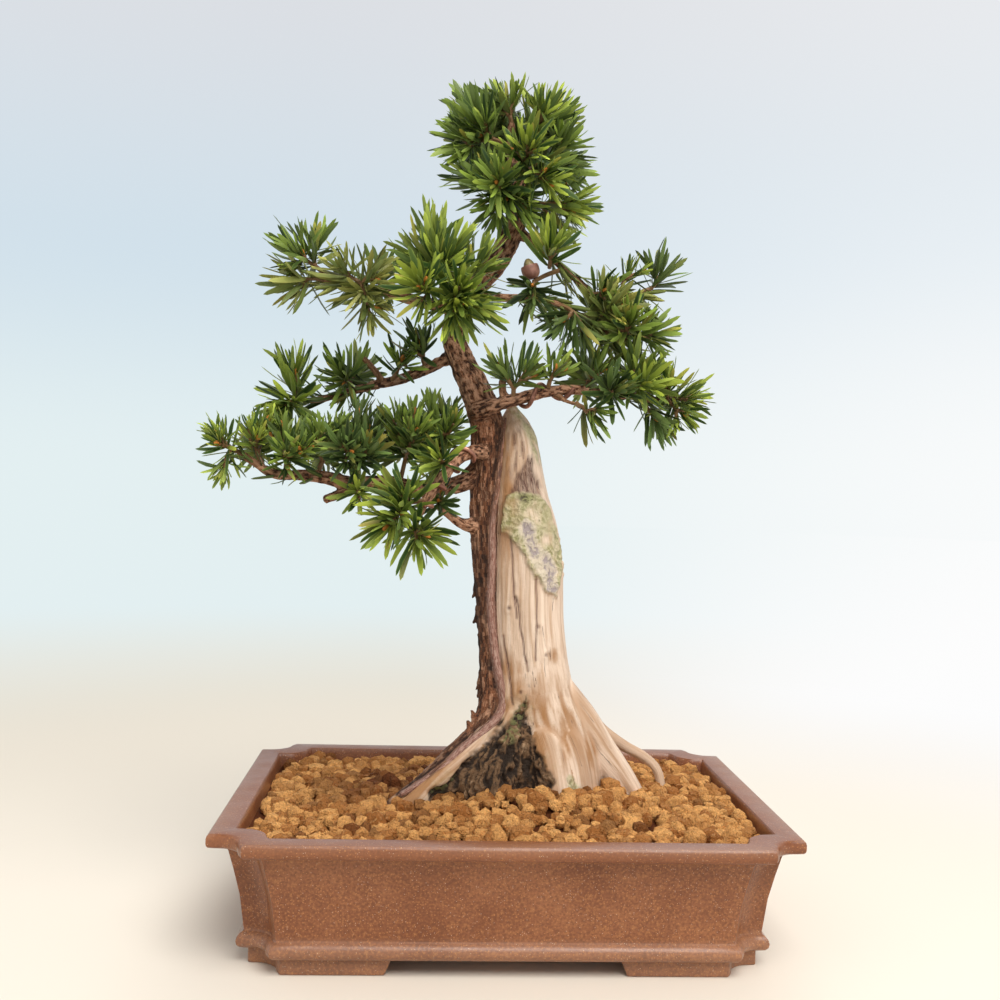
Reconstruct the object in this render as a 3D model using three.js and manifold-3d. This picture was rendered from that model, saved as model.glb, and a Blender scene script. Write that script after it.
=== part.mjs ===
// Japanese yew bonsai in a footed clay tray, half its trunk bleached deadwood.
// Millimetres, +Z up, the viewer's side towards -Y, the tray standing on z = 0.
// The origin lies under the middle of the whole tree's width, a little left of the tray's middle.
import * as THREE from "three";
import { mergeVertices } from "three/addons/utils/BufferGeometryUtils.js";
import Module from "manifold-3d";

const wasm = await Module();
wasm.setup();
const { Manifold } = wasm;

// Clearance between pieces that touch
const GAP = 0.3;

// Tray: half sizes outside the rim, heights and the notched corners
const TRAY = {
  middleX: 10, halfLength: 150, halfWidth: 113.2, height: 70.3, notchX: 20, notchY: 17.8,
  notchFade: 200, floor: 18,
};
// The notch at a corner, as shares of its sizes along and across the tray
const TRAY_NOTCH = [[0, 1], [0.45, 0.93], [0.8, 0.6], [0.9, 0.22], [1, 0]];
// Outer wall from the underside up to the rim: how far in from the rim, and the height
const TRAY_OUTSIDE = [
  [20, 8], [15.8, 9.6], [13.8, 12.6], [14.4, 15.4], [17.4, 17.4],
  [15.2, 36], [9.4, 61.6], [1.8, 62.9], [0, 65.4], [0, 68.4], [1.4, 70.3],
];
// Inner wall from the rim down to the floor, in the same terms
const TRAY_INSIDE = [[12.6, 70.3], [13.4, 69.2], [16.4, 52], [22.4, 22], [27, 18]];
const FOOT = { inset: 19.4, innerInset: 38, end: 57, endAcross: 41, slope: 4, top: 9.5 };
const DRAIN = { spread: 72, radius: 11, sides: 12 };
const SCREEN = { half: 17, thickness: 1.2, cells: 2, bar: 2.2 };

// Soil: mound over the roots and lumps in close rows
const SOIL = {
  edge: 65.5, mound: 11, moundX: 30, reachX: 125, reachY: 95, lump: 2.8, hollow: 1.6, pitch: 13.6, jitter: 2, top: 110,
};

// Wire wound on two branches
const WIRE = { radius: 1.25, quarters: 3, stepsPerTurn: 7, lift: 1 };

// Needles: a flat blade with a raised middle rib, and how a shoot carries them
const NEEDLE = { width: 3, widest: 0.58, bend: 0.08, jitter: [0.82, 1.1], tipShort: 0.2 };
const SHOOT = {
  radius: 1.5, step: 5.8, budLength: 3.5, wideLean: 76, closeLean: 20, leanJitter: 8, turnJitter: 15, rise: 0.4,
  clearance: 3, ownClearance: 2.8, ownFrom: 0.1,
};

// Live wood: each limb as points x, y, z and radius, from the soil or its parent outwards
const LIVE_TRUNK = [
  [-62, -33, 58, 3.6], [-51, -30, 69, 4.2], [-36, -27, 79, 5.2], [-20, -22, 93, 6.2], [-4, -13, 106, 7],
  [3, -6, 119, 7.2], [2.5, -3, 142, 6.6], [0.8, -1, 170, 6.5], [-1.5, 0, 203, 7.6], [-2.6, 1, 232, 8.8],
  [-2.4, 1, 257, 9.5], [-3, 0, 277, 9.4], [-7, -1, 291, 9], [-13, -2, 304, 8.2], [-19, -2, 316, 7],
  [-24, -2, 330, 6.4], [-22, -1, 344, 6], [-13, 1, 358, 6.1], [-3, 3, 370, 6.4], [4, 4, 382, 6.6],
  [9, 4, 394, 6.4], [12, 4, 407, 5.6], [10, 3, 423, 4.4], [7, 2, 438, 3.2], [6, 1, 453, 2],
];
const LIVE_BRANCHES = {
  leftUpper: [
    [-21, -4, 345, 4.4], [-32, -14, 345, 3.6], [-44, -22, 346, 3.2], [-59, -24, 349, 2.7],
    [-74, -24, 352, 2.4], [-87, -24, 354, 2], [-98, -24, 356, 1.5],
  ],
  frontUpper: [[-22, -6, 342, 4], [-27, -22, 347, 3.2], [-31, -33, 352, 2.6]],
  leftMiddle: [
    [-23, 0, 319, 4.6], [-31, 2, 315, 3.4], [-41, 5, 310, 3.2], [-54, 8, 305, 3], [-70, 10, 301, 2.8],
    [-87, 11, 296, 2.4], [-101, 10, 292, 2], [-109, 9, 291, 1.6],
  ],
  leftMiddleStub: [[-63, 9, 302, 2], [-69, 6, 310, 1.9], [-75, 4, 316, 1.8]],
  leftLower: [
    [-6, 2, 254, 6.5], [-17, -4, 246, 5], [-29, -8, 243, 4.4], [-45, -13, 243, 4.2], [-60, -18, 245, 4.2],
    [-78, -24, 244, 4.2], [-92, -29, 247, 3.6], [-106, -33, 248, 3], [-119, -36, 248, 2.6],
    [-128, -38, 253, 2.1], [-137, -39, 259, 2],
  ],
  leftLowerStub: [[-78, -24, 243, 3], [-85, -26, 238, 2.5], [-92, -27, 235, 2.5]],
  frontLower: [
    [-4, -3, 264, 5], [-13, -20, 263, 3.6], [-20, -30, 259, 3.3], [-26, -38, 252, 3.1],
    [-31, -45, 244, 2.8], [-36, -52, 237, 2.4], [-40, -58, 229, 2],
  ],
  leftTwig: [[-9, -2, 222, 5], [-16, -6, 223, 3], [-24, -10, 228, 2.2], [-30, -14, 232, 1.6]],
  rightUpper: [
    [12, 4, 392, 4], [19, 2, 387, 2.4], [25, -1, 382, 2.2], [36, -3, 372, 1.9], [46, -4, 364, 1.9],
    [58, -4, 355, 1.8], [71, -4, 355, 1.5], [84, -4, 357, 1.3],
  ],
  rightMiddle: [
    [-13, -2, 355, 4], [-4, -8, 352, 2.6], [8, -13, 351, 2.2], [21, -16, 351, 2], [33, -16, 348, 1.9],
    [46, -14, 343, 1.8], [60, -10, 336, 1.6], [71, -6, 330, 1.4],
  ],
  rightLower: [
    [-8, -6, 287, 6], [1, -17, 290, 4], [14, -20, 294, 3.6], [28, -20, 298, 3.3], [44, -18, 300, 2.9],
    [59, -15, 299, 2.5], [77, -12, 298, 2.1], [94, -10, 296, 1.9],
  ],
  rightLowerStub: [[6, -18, 292, 2.6], [4, -19, 299, 2.2], [4, -20, 304, 2.2]],
  rightLowerTwig: [[34, -20, 297, 2], [40, -24, 293, 1.2], [47, -27, 291, 1]],
};

// Deadwood: the bleached trunk and its roots, in the same terms
const DEAD_TRUNK = [
  [11, 2, 290, 3], [12, 4, 283, 8], [14, 6, 272, 12], [15, 7, 255, 14.5], [17, 7, 237, 16.5], [20, 7, 220, 19],
  [22, 7, 197, 21], [23, 7, 167, 21.5], [25, 7, 144, 22.5], [27, 7, 124, 25], [31, 8, 103, 30], [34, 8, 86, 34],
  [36, 8, 62, 36],
];
const DEAD_ROOTS = {
  right: [[40, 6, 127, 12], [55, 5, 109, 12], [67, 4, 93, 10.5], [78, 3, 79, 9.5], [90, 2, 60, 9]],
  middle: [[26, -4, 114, 13], [34, -14, 95, 13], [38, -22, 76, 13], [40, -26, 60, 13]],
  left: [[9, -4, 111, 10], [-9, -18, 95, 8], [-26, -26, 81, 7], [-44, -32, 64, 6]],
  thin: [
    [60, 12, 112, 8], [72, 18, 100, 3.4], [86, 22, 91, 3], [97, 22, 85, 2.8], [104, 18, 79, 2.4], [107, 12, 66, 2.2],
  ],
  backLeft: [[22, 20, 106, 14], [15, 38, 84, 12], [13, 50, 60, 10]],
  backRight: [[37, 20, 110, 14], [54, 38, 88, 12], [69, 48, 60, 10]],
};
const CAVITY = { centre: [5, -26, 86], size: [25, 13, 15] };
const HOLLOW = { centre: [20, -13, 240], size: [5, 5, 11] };
const SCAR = { centre: [27, -7, 212], size: [12, 9, 29] };

// Seed in its fleshy cup: the cup's foot, its tilt to the left, and the seed's size
const CUP = { foot: [19.5, -18, 361.3], tilt: -18, radius: 5.1, height: 7.6, wall: 1.3, sides: 9 };
const SEED = { radius: 3.4, height: 10.2 };

// Foliage tones
const TONES = {
  bright: new THREE.Color(0.42, 0.55, 0.14),
  mid: new THREE.Color(0.25, 0.38, 0.13),
  dark: new THREE.Color(0.14, 0.23, 0.11),
  olive: new THREE.Color(0.52, 0.50, 0.20),
};

// Sprays: name, tone, needle length, foot in the wood, fork, and the tip of each shoot
const SPRAYS = [
  ["head_top", "bright", 22, [6, 1, 452], [5, 0, 457], [[6, -2, 468], [-3, 7, 466]]],
  ["head_top_right", "bright", 21, [7, 2, 439], [16, -2, 444], [[27, -8, 460], [35, 4, 458]]],
  ["head_face", "bright", 22, [8, 2, 430], [13, -15, 424], [[13, -34, 432], [26, -30, 412]]],
  ["head_left_top", "mid", 23, [7, 2, 440], [-5, -5, 442], [[-17, -12, 451], [-19, 6, 462], [-22, -9, 436]]],
  ["head_left_low", "mid", 22, [11, 3, 418], [1, -12, 411],
    [[-19, -8, 420], [-3, -34, 410], [-1, -18, 398], [12, -20, 401]]],
  ["head_right", "mid", 22, [9, 3, 430], [25, -2, 431], [[37, -8, 441], [40, 2, 427]]],
  ["head_right_low", "bright", 22, [12, 4, 411], [24, 2, 408], [[44, 0, 409], [34, 6, 398]]],
  ["head_back", "dark", 22, [10, 3, 426], [10, 22, 433],
    [[1, 36, 466], [24, 34, 464], [-14, 40, 443], [40, 38, 442]]],
  ["head_back_low", "dark", 22, [12, 4, 415], [13, 24, 417], [[12, 46, 423]]],
  ["front_top", "bright", 23, [-31, -31, 351], [-34, -36, 359], [[-37, -36, 382], [-26, -42, 371], [-45, -30, 369]]],
  ["front_face_left", "bright", 23, [-30, -29, 350], [-37, -41, 348], [[-43, -56, 348]]],
  ["front_face_right", "bright", 23, [-28, -25, 349], [-25, -38, 347], [[-22, -54, 349], [-25, -50, 336], [-12, -40, 341]]],
  ["front_right_top", "bright", 22, [-26, -20, 347], [-19, -24, 356], [[-11, -26, 370]]],
  ["left_upper_tip", "olive", 24, [-96, -24, 355], [-102, -24, 356], [[-111, -26, 355]]],
  ["left_upper_pair", "mid", 22, [-90, -24, 354], [-101, -22, 363], [[-114, -28, 370], [-103, -16, 375]]],
  ["left_upper_middle", "olive", 20, [-74, -24, 352], [-75, -31, 353], [[-68, -34, 360], [-85, -30, 359], [-70, -35, 336]]],
  ["left_upper_back", "mid", 21, [-67, -24, 350], [-66, -12, 355], [[-67, 6, 363]]],
  ["left_middle_tip", "bright", 23, [-106, 9, 291], [-112, 6, 293], [[-115, 6, 307], [-117, -10, 287]]],
  ["left_middle_two", "mid", 21, [-80, 11, 298], [-83, 12, 303], [[-88, 2, 307], [-78, 31, 311]]],
  ["left_middle_three", "mid", 18, [-59, 9, 303], [-56, 5, 308], [[-53, -3, 315]]],
  ["left_middle_four", "dark", 22, [-40, 5, 311], [-41, 2, 316], [[-42, -3, 324]]],
  ["pad_tip", "bright", 15, [-135, -39, 258], [-141, -41, 261], [[-149, -44, 269], [-146, -53, 263], [-144, -44, 250]]],
  ["pad_one", "bright", 15, [-124, -37, 251], [-128, -35, 259], [[-132, -42, 272], [-125, -30, 274], [-134, -3, 265]]],
  ["pad_two", "mid", 15, [-112, -35, 248], [-112, -39, 256],
    [[-115, -38, 273], [-108, -25, 272], [-111, -58, 260], [-99, -52, 262]]],
  ["pad_three", "mid", 16, [-95, -30, 247], [-94, -26, 256],
    [[-97, -33, 271], [-85, -22, 275], [-104, 10, 269], [-86, 16, 274]]],
  ["pad_four", "dark", 18, [-77, -24, 244], [-77, -29, 256],
    [[-75, -20, 284], [-65, -6, 279], [-82, -54, 264], [-66, -52, 263]]],
  ["pad_five", "mid", 18, [-52, -15, 244], [-49, -16, 259],
    [[-45, -12, 284], [-56, -22, 280], [-43, -46, 273], [-57, 22, 272]]],
  ["pad_six", "mid", 18, [-36, -10, 243], [-32, -9, 263],
    [[-35, -2, 288], [-23, 4, 287], [-23, -32, 278], [-40, 26, 277]]],
  ["pad_wire", "bright", 19, [-24, -35, 255], [-27, -46, 256], [[-30, -57, 258]]],
  ["pad_under", "bright", 17, [-74, -23, 244], [-74, -32, 240], [[-73, -45, 240]]],
  ["low_face", "bright", 23, [-39, -56, 232], [-42, -66, 223], [[-41, -77, 216]]],
  ["low_face_left", "bright", 23, [-36, -52, 237], [-45, -57, 235], [[-56, -74, 223], [-50, -62, 238]]],
  ["low_inner", "dark", 20, [-28, -12, 231], [-29, -17, 234], [[-30, -30, 236]]],
  ["seed_face", "bright", 23, [30, -2, 377], [29, -13, 369], [[28, -24, 377]]],
  ["seed_low", "dark", 22, [38, -3, 370], [20, -18, 359.8], [[19, -27, 349]]],
  ["right_hang", "dark", 20, [36, -16, 347], [42, -22, 343], [[37, -28, 338], [49, -22, 331]]],
  ["right_top", "mid", 19, [53, -4, 358], [55, -11, 355], [[59, -18, 356]]],
  ["right_olive", "olive", 23, [58, -10, 337], [58, -10, 343], [[64, -24, 345], [73, 20, 350]]],
  ["right_bud", "bright", 15, [70, -4, 355], [72, -5, 361], [[75, -6, 369]]],
  ["right_tip", "dark", 22, [82, -4, 357], [88, -4, 360], [[94, -5, 367]]],
  ["right_end", "mid", 21, [69, -7, 331], [75, -11, 331], [[71, -30, 338], [91, -13, 334]]],
  ["low_right_one", "mid", 19, [11, -20, 293], [10, -23, 299], [[3, -26, 310], [16, -28, 309]]],
  ["low_right_three", "mid", 17, [29, -20, 298], [30, -23, 304], [[32, -27, 310]]],
  ["low_right_four", "mid", 20, [51, -17, 300], [53, -12, 305], [[57, -14, 313], [56, 15, 312]]],
  ["low_right_face", "dark", 21, [63, -14, 299], [63, -23, 299], [[63, -38, 298]]],
  ["low_right_tall", "bright", 23, [76, -12, 298], [78, -15, 303], [[78, -17, 315], [84, -28, 303]]],
  ["low_right_end", "bright", 19, [93, -10, 296], [99, -11, 297], [[112, -12, 299], [98, -15, 307], [107, -18, 289]]],
  ["low_right_hang", "dark", 20, [83, -11, 297], [86, -14, 292], [[90, -21, 286]]],
  ["low_right_droop", "mid", 20, [45, -26, 292], [48, -28, 290], [[51, -32, 286]]],
  ["low_right_back", "dark", 20, [80, -12, 298], [84, -4, 302], [[92, 18, 307]]],
];

const v3 = (p) => new THREE.Vector3(p[0], p[1], p[2]);
const mix = (a, b, t) => a + (b - a) * t;

// Even draw between 0 and 1, the same for the same seed
function draw(seed) {
  const wave = Math.sin(seed * 12.9898 + 4.1414) * 43758.5453;
  return wave - Math.floor(wave);
}

// Closed solid from a geometry, its shared corners merged
function solid(geometry) {
  const bare = geometry.clone();
  bare.deleteAttribute("normal");
  bare.deleteAttribute("uv");
  const merged = mergeVertices(bare, 1e-4);
  return new Manifold(new wasm.Mesh({
    numProp: 3,
    vertProperties: new Float32Array(merged.attributes.position.array),
    triVerts: new Uint32Array(merged.index.array),
  }));
}

function geometryOf(body) {
  const { vertProperties, triVerts } = body.getMesh();
  const geometry = new THREE.BufferGeometry();
  geometry.setAttribute("position", new THREE.BufferAttribute(new Float32Array(vertProperties), 3));
  geometry.setIndex(new THREE.BufferAttribute(new Uint32Array(triVerts), 1));
  geometry.computeVertexNormals();
  return geometry;
}

// The one body that holds most of a solid, its loose scraps dropped
function largest(body) {
  return body.decompose().reduce((best, piece) => (piece.volume() > best.volume() ? piece : best));
}

// Closed solid from its corner points and its three-sided faces
function solidOf(points, faces) {
  const geometry = new THREE.BufferGeometry().setFromPoints(points);
  geometry.setIndex(faces.flat());
  return solid(geometry);
}

// Closed solid through rings of equally many points
function loft(rings) {
  const count = rings[0].length;
  const faces = capFaces(rings[0]).map((face) => face.reverse());
  for (let i = 0; i + 1 < rings.length; i += 1) {
    for (let k = 0; k < count; k += 1) {
      const [a, b] = [i * count + k, i * count + (k + 1) % count];
      faces.push([a, b, b + count], [a, b + count, a + count]);
    }
  }
  const last = (rings.length - 1) * count;
  capFaces(rings.at(-1)).forEach((face) => faces.push(face.map((i) => last + i)));
  return solidOf(rings.flat(), faces);
}

// Triangles over a flat ring, as indices in the ring's own turn
function capFaces(ring) {
  const spokes = ring.map((p) => p.clone().sub(ring[0]));
  const normal = new THREE.Vector3();
  spokes.forEach((spoke, i) => normal.add(spoke.clone().cross(spokes[(i + 1) % ring.length])));
  const across = spokes[1].clone().normalize();
  const along = normal.normalize().cross(across);
  return THREE.ShapeUtils.triangulateShape(spokes.map((p) => new THREE.Vector2(p.dot(across), p.dot(along))), []);
}

// Point at a turn and reach round a place, in the plane of two directions
const turned = (place, side, other, turn, reach) => place.clone()
  .addScaledVector(side, Math.cos(turn) * reach).addScaledVector(other, Math.sin(turn) * reach);

// A direction to start turning from, well off the line itself
const startSide = (line) => (Math.abs(line.y) > 0.9 ? new THREE.Vector3(0, 0, 1) : new THREE.Vector3(0, 1, 0));

// Limb of wood: rings across a smooth curve through its points, grown by a margin all round
function limb(path, sides, { grow = 0, steps = 1, section = () => 1 } = {}) {
  const ends = path.map((p) => v3(p));
  ends[0].addScaledVector(v3(path[0]).sub(v3(path[1])).normalize(), grow);
  ends[ends.length - 1].addScaledVector(v3(path.at(-1)).sub(v3(path.at(-2))).normalize(), grow);
  const curve = new THREE.CatmullRomCurve3(ends);
  const count = (path.length - 1) * steps;
  let side = startSide(curve.getTangent(0));
  const rings = [];
  for (let i = 0; i <= count; i += 1) {
    const t = i / count;
    const place = curve.getPoint(t);
    const tangent = curve.getTangent(t);
    side = side.clone().addScaledVector(tangent, -side.dot(tangent)).normalize();
    const other = tangent.clone().cross(side);
    const from = Math.min(Math.floor(i / steps), path.length - 2);
    const radius = mix(path[from][3], path[from + 1][3], i / steps - from);
    const ring = [];
    for (let k = 0; k < sides; k += 1) {
      const turn = (2 * Math.PI * k) / sides;
      const reach = radius * section(turn, place.z) + grow;
      ring.push(turned(place, side, other, turn, reach));
    }
    rings.push(ring);
  }
  return loft(rings);
}

function ellipsoid({ centre, size }, grow = 0) {
  const ball = new THREE.SphereGeometry(1, 9, 6);
  ball.scale(size[0] + grow, size[1] + grow, size[2] + grow);
  ball.translate(...centre);
  return solid(ball);
}

function box(sizeX, sizeY, sizeZ, x, y, z) {
  const block = new THREE.BoxGeometry(sizeX, sizeY, sizeZ);
  block.translate(x, y, z);
  return solid(block);
}

// Outline of the tray in plan at one height, its corners notched in an ogee
function trayRing(inset, height) {
  const [x, y] = [TRAY.halfLength - inset, TRAY.halfWidth - inset];
  const share = 1 - inset / TRAY.notchFade;
  const [nx, ny] = [TRAY.notchX * share, TRAY.notchY * share];
  const corner = TRAY_NOTCH.map(([across, along]) => [x - nx * across, y - ny * along]);
  const mirrored = corner.map(([px, py]) => [-px, py]).reverse();
  const front = [...corner, ...mirrored];
  const plan = [...front, ...front.map(([px, py]) => [-px, -py])];
  return plan.map(([px, py]) => new THREE.Vector3(TRAY.middleX + px, py, height));
}

// One foot wraps each corner, from the ground up into the underside, its ends sloped
function trayFoot(signX, signY) {
  const section = (height, end) => {
    const outer = trayRing(FOOT.inset, height).slice(0, 5).map((p) => [p.x - TRAY.middleX, p.y]);
    const [ix, iy] = [TRAY.halfLength - FOOT.innerInset, TRAY.halfWidth - FOOT.innerInset];
    const [ex, ey] = [FOOT.end - end, FOOT.endAcross - end];
    const plan = [[outer[0][0], ey], ...outer, [ex, outer[4][1]], [ex, iy], [ix, iy], [ix, ey]];
    const ring = plan.map(([x, y]) => new THREE.Vector3(TRAY.middleX + signX * x, signY * y, height));
    return signX * signY > 0 ? ring : ring.reverse();
  };
  return loft([section(0, -FOOT.slope), section(FOOT.top, 0)]);
}

function trayBody() {
  const outside = loft(TRAY_OUTSIDE.map(([inset, height]) => trayRing(inset, height)));
  const mouth = trayRing(TRAY_INSIDE[0][0], TRAY.height + 5);
  const inside = loft([mouth, ...TRAY_INSIDE.map(([inset, height]) => trayRing(inset, height))].reverse());
  const feet = [[1, 1], [-1, 1], [-1, -1], [1, -1]].map(([x, y]) => trayFoot(x, y));
  const holes = [-1, 1].map((sign) => {
    const hole = new THREE.CylinderGeometry(DRAIN.radius, DRAIN.radius, TRAY.floor * 2, DRAIN.sides);
    hole.rotateX(Math.PI / 2).translate(TRAY.middleX + sign * DRAIN.spread, 0, TRAY.floor);
    return solid(hole);
  });
  return Manifold.union([outside, ...feet]).subtract(Manifold.union([inside, ...holes]));
}

// Mesh screen on the floor over a drainage hole
function drainScreen(sign) {
  const { half, cells, bar, thickness } = SCREEN;
  const [x, z] = [TRAY.middleX + sign * DRAIN.spread, TRAY.floor + GAP + thickness / 2];
  const opening = (2 * half - bar) / cells - bar;
  const centres = Array.from({ length: cells }, (_, i) => (opening + bar) * (i + 0.5 - cells / 2));
  const holes = centres.flatMap((dx) => centres.map((dy) => box(opening, opening, 2 * thickness, x + dx, dy, z)));
  return box(2 * half, 2 * half, thickness, x, 0, z).subtract(Manifold.union(holes));
}

// Soil surface: a mound round the trunk, with a lump at every third point of close rows
function soilHeight(x, y) {
  const reach = Math.hypot((x - SOIL.moundX) / SOIL.reachX, y / SOIL.reachY);
  return SOIL.edge + SOIL.mound * Math.max(0, 1 - reach * reach);
}

function soilRelief() {
  const rowStep = SOIL.pitch * Math.sqrt(3) / 2;
  const columns = Math.ceil((2 * TRAY.halfLength) / SOIL.pitch) + 1;
  const rows = Math.ceil((2 * TRAY.halfWidth) / rowStep) + 1;
  const top = [];
  for (let j = 0; j < rows; j += 1) {
    for (let i = 0; i < columns; i += 1) {
      const seed = j * columns + i;
      const [driftX, driftY] = [draw(seed) - 0.5, draw(seed + 0.3) - 0.5].map((drift) => drift * 2 * SOIL.jitter);
      const x = TRAY.middleX - TRAY.halfLength + (i + (j % 2) / 2) * SOIL.pitch + driftX;
      const y = -TRAY.halfWidth + j * rowStep + driftY;
      const lumpHere = (i - Math.floor(j / 2) + 2 * j + 3 * rows) % 3 === 0;
      const lift = lumpHere ? SOIL.lump : -SOIL.hollow;
      top.push(new THREE.Vector3(x, y, soilHeight(x, y) + lift * mix(0.6, 1.4, draw(seed + 0.6))));
    }
  }
  const at = (i, j) => j * columns + i;
  const faces = [];
  for (let j = 0; j + 1 < rows; j += 1) {
    for (let i = 0; i + 1 < columns; i += 1) {
      const [a, b, c, d] = [at(i, j), at(i + 1, j), at(i + 1, j + 1), at(i, j + 1)];
      faces.push(...(j % 2 ? [[a, b, c], [a, c, d]] : [[a, b, d], [b, c, d]]));
    }
  }
  const below = top.length;
  const under = faces.map(([a, b, c]) => [c + below, b + below, a + below]);
  const rim = [
    ...Array.from({ length: columns }, (_, i) => at(i, 0)),
    ...Array.from({ length: rows - 1 }, (_, j) => at(columns - 1, j + 1)),
    ...Array.from({ length: columns - 1 }, (_, i) => at(columns - 2 - i, rows - 1)),
    ...Array.from({ length: rows - 2 }, (_, j) => at(0, rows - 2 - j)),
  ];
  const walls = rim.flatMap((a, i) => {
    const b = rim[(i + 1) % rim.length];
    return [[a, a + below, b + below], [a, b + below, b]];
  });
  const bottom = top.map(({ x, y }) => new THREE.Vector3(x, y, 0));
  return solidOf([...top, ...bottom], [...faces, ...under, ...walls]);
}

function soilBody(wood) {
  const inner = TRAY_INSIDE.map(([inset, height]) => trayRing(inset + GAP, Math.max(height, TRAY.floor + GAP)));
  const filling = loft([trayRing(TRAY_INSIDE[0][0] + GAP * 3, SOIL.top), ...inner.slice(1)].reverse());
  const pockets = [-1, 1].map((sign) => {
    const side = 2 * (SCREEN.half + GAP);
    return box(side, side, 2 * (SCREEN.thickness + 2 * GAP), TRAY.middleX + sign * DRAIN.spread, 0, TRAY.floor);
  });
  return largest(soilRelief().intersect(filling).subtract(Manifold.union([wood, ...pockets])));
}

// Bark ridges on the live trunk and flutes on the deadwood
const ridges = (...waves) => (turn, height) => waves.reduce(
  (sum, { depth, count, climb }) => sum + depth * Math.sin(count * turn + height / climb), 1);
const barkSection = ridges({ depth: 0.05, count: 3, climb: 23 }, { depth: 0.03, count: 5, climb: -11 });
const deadSection = ridges({ depth: 0.045, count: 4, climb: 40 }, { depth: 0.03, count: 7, climb: 31 });

function liveWood(grow = 0) {
  const trunk = limb(LIVE_TRUNK, 9, { grow, section: barkSection });
  const branches = Object.values(LIVE_BRANCHES).map((path) => limb(path, path[0][3] > 4.2 ? 6 : 5, { grow }));
  return Manifold.union([trunk, ...branches]);
}

function deadWood(grow = 0) {
  const trunk = limb(DEAD_TRUNK, 12, { grow, section: deadSection });
  const roots = Object.values(DEAD_ROOTS).map((path) => limb(path, path[0][3] > 8.5 ? 8 : 6, { grow }));
  const body = Manifold.union([trunk, ellipsoid(SCAR, grow), ...roots]);
  return grow ? body : body.subtract(Manifold.union([ellipsoid(CAVITY), ellipsoid(HOLLOW)]));
}

// Wire wound round a branch between two shares of its length, its ends laid along it
function woundWire(path, from, to, turns, start, grow = 0) {
  const curve = new THREE.CatmullRomCurve3(path.map((p) => v3(p)));
  const count = Math.round(Math.abs(turns) * WIRE.stepsPerTurn);
  let side = startSide(curve.getTangent(0));
  const points = [];
  for (let i = 0; i <= count; i += 1) {
    const t = mix(from, to, i / count);
    const tangent = curve.getTangent(t);
    side = side.clone().addScaledVector(tangent, -side.dot(tangent)).normalize();
    const other = tangent.clone().cross(side);
    const stretch = t * (path.length - 1);
    const step = Math.min(Math.floor(stretch), path.length - 2);
    const radius = mix(path[step][3], path[step + 1][3], stretch - step) + WIRE.radius + WIRE.lift;
    const turn = start + (2 * Math.PI * turns * i) / count;
    points.push(turned(curve.getPoint(t), side, other, turn, radius));
  }
  const round = new THREE.Shape();
  round.absarc(0, 0, WIRE.radius + grow, 0, 2 * Math.PI);
  return solid(new THREE.ExtrudeGeometry(round, {
    curveSegments: WIRE.quarters, steps: count, extrudePath: new THREE.CatmullRomCurve3(points),
  }));
}

const wireLeft = (grow) => woundWire(LIVE_BRANCHES.frontLower, 0.2, 0.96, 3.4, 2.2, grow);
const wireRight = (grow) => woundWire(LIVE_BRANCHES.rightLower, 0.24, 0.56, -1.6, 0.6, grow);

// Turned piece of the seed and its cup, from radii and heights over the cup's foot
function turnedOnShoot(profile) {
  const piece = new THREE.LatheGeometry(profile.map((p) => new THREE.Vector2(...p)), CUP.sides);
  piece.rotateX(Math.PI / 2).rotateY(THREE.MathUtils.degToRad(CUP.tilt)).translate(...CUP.foot);
  return solid(piece);
}

// Outside of the cup up to its mouth, grown by a margin
const cupOutside = (grow) => [
  [0, -grow], [CUP.radius * 0.5 + grow, 0.2 - grow], [CUP.radius * 0.9 + grow, CUP.height * 0.3],
  [CUP.radius + grow, CUP.height * 0.62], [CUP.radius * 0.92 + grow, CUP.height],
];

function seedCup() {
  const { radius, height, wall } = CUP;
  const inside = [
    [radius * 0.92 - wall, height], [radius - wall * 1.1, height * 0.62], [radius * 0.5, wall + 0.4], [0, wall],
  ];
  return turnedOnShoot([...cupOutside(0), ...inside]);
}

function seed() {
  const { radius, height } = SEED;
  const profile = [[0, 0], [radius * 0.4, 0.6], [radius, height * 0.42], [radius * 0.8, height * 0.75], [0, height]];
  return turnedOnShoot(profile.map(([r, z]) => [r, z + CUP.wall + GAP]));
}

// Room that the cup and the seed take up among the needles
const seedRoom = () => turnedOnShoot([...cupOutside(GAP), [0, CUP.wall + SEED.height + CUP.wall]]);

// Ring of three points round a twig, turned a sixth of a circle further at each step
function twigRing(place, along, step, start) {
  const side = start.clone().addScaledVector(along, -start.dot(along)).normalize();
  const other = along.clone().cross(side);
  return [0, 1, 2].map((k) => {
    const turn = (Math.PI / 3) * (2 * k + step);
    return turned(place, side, other, turn, SHOOT.radius);
  });
}

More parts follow.
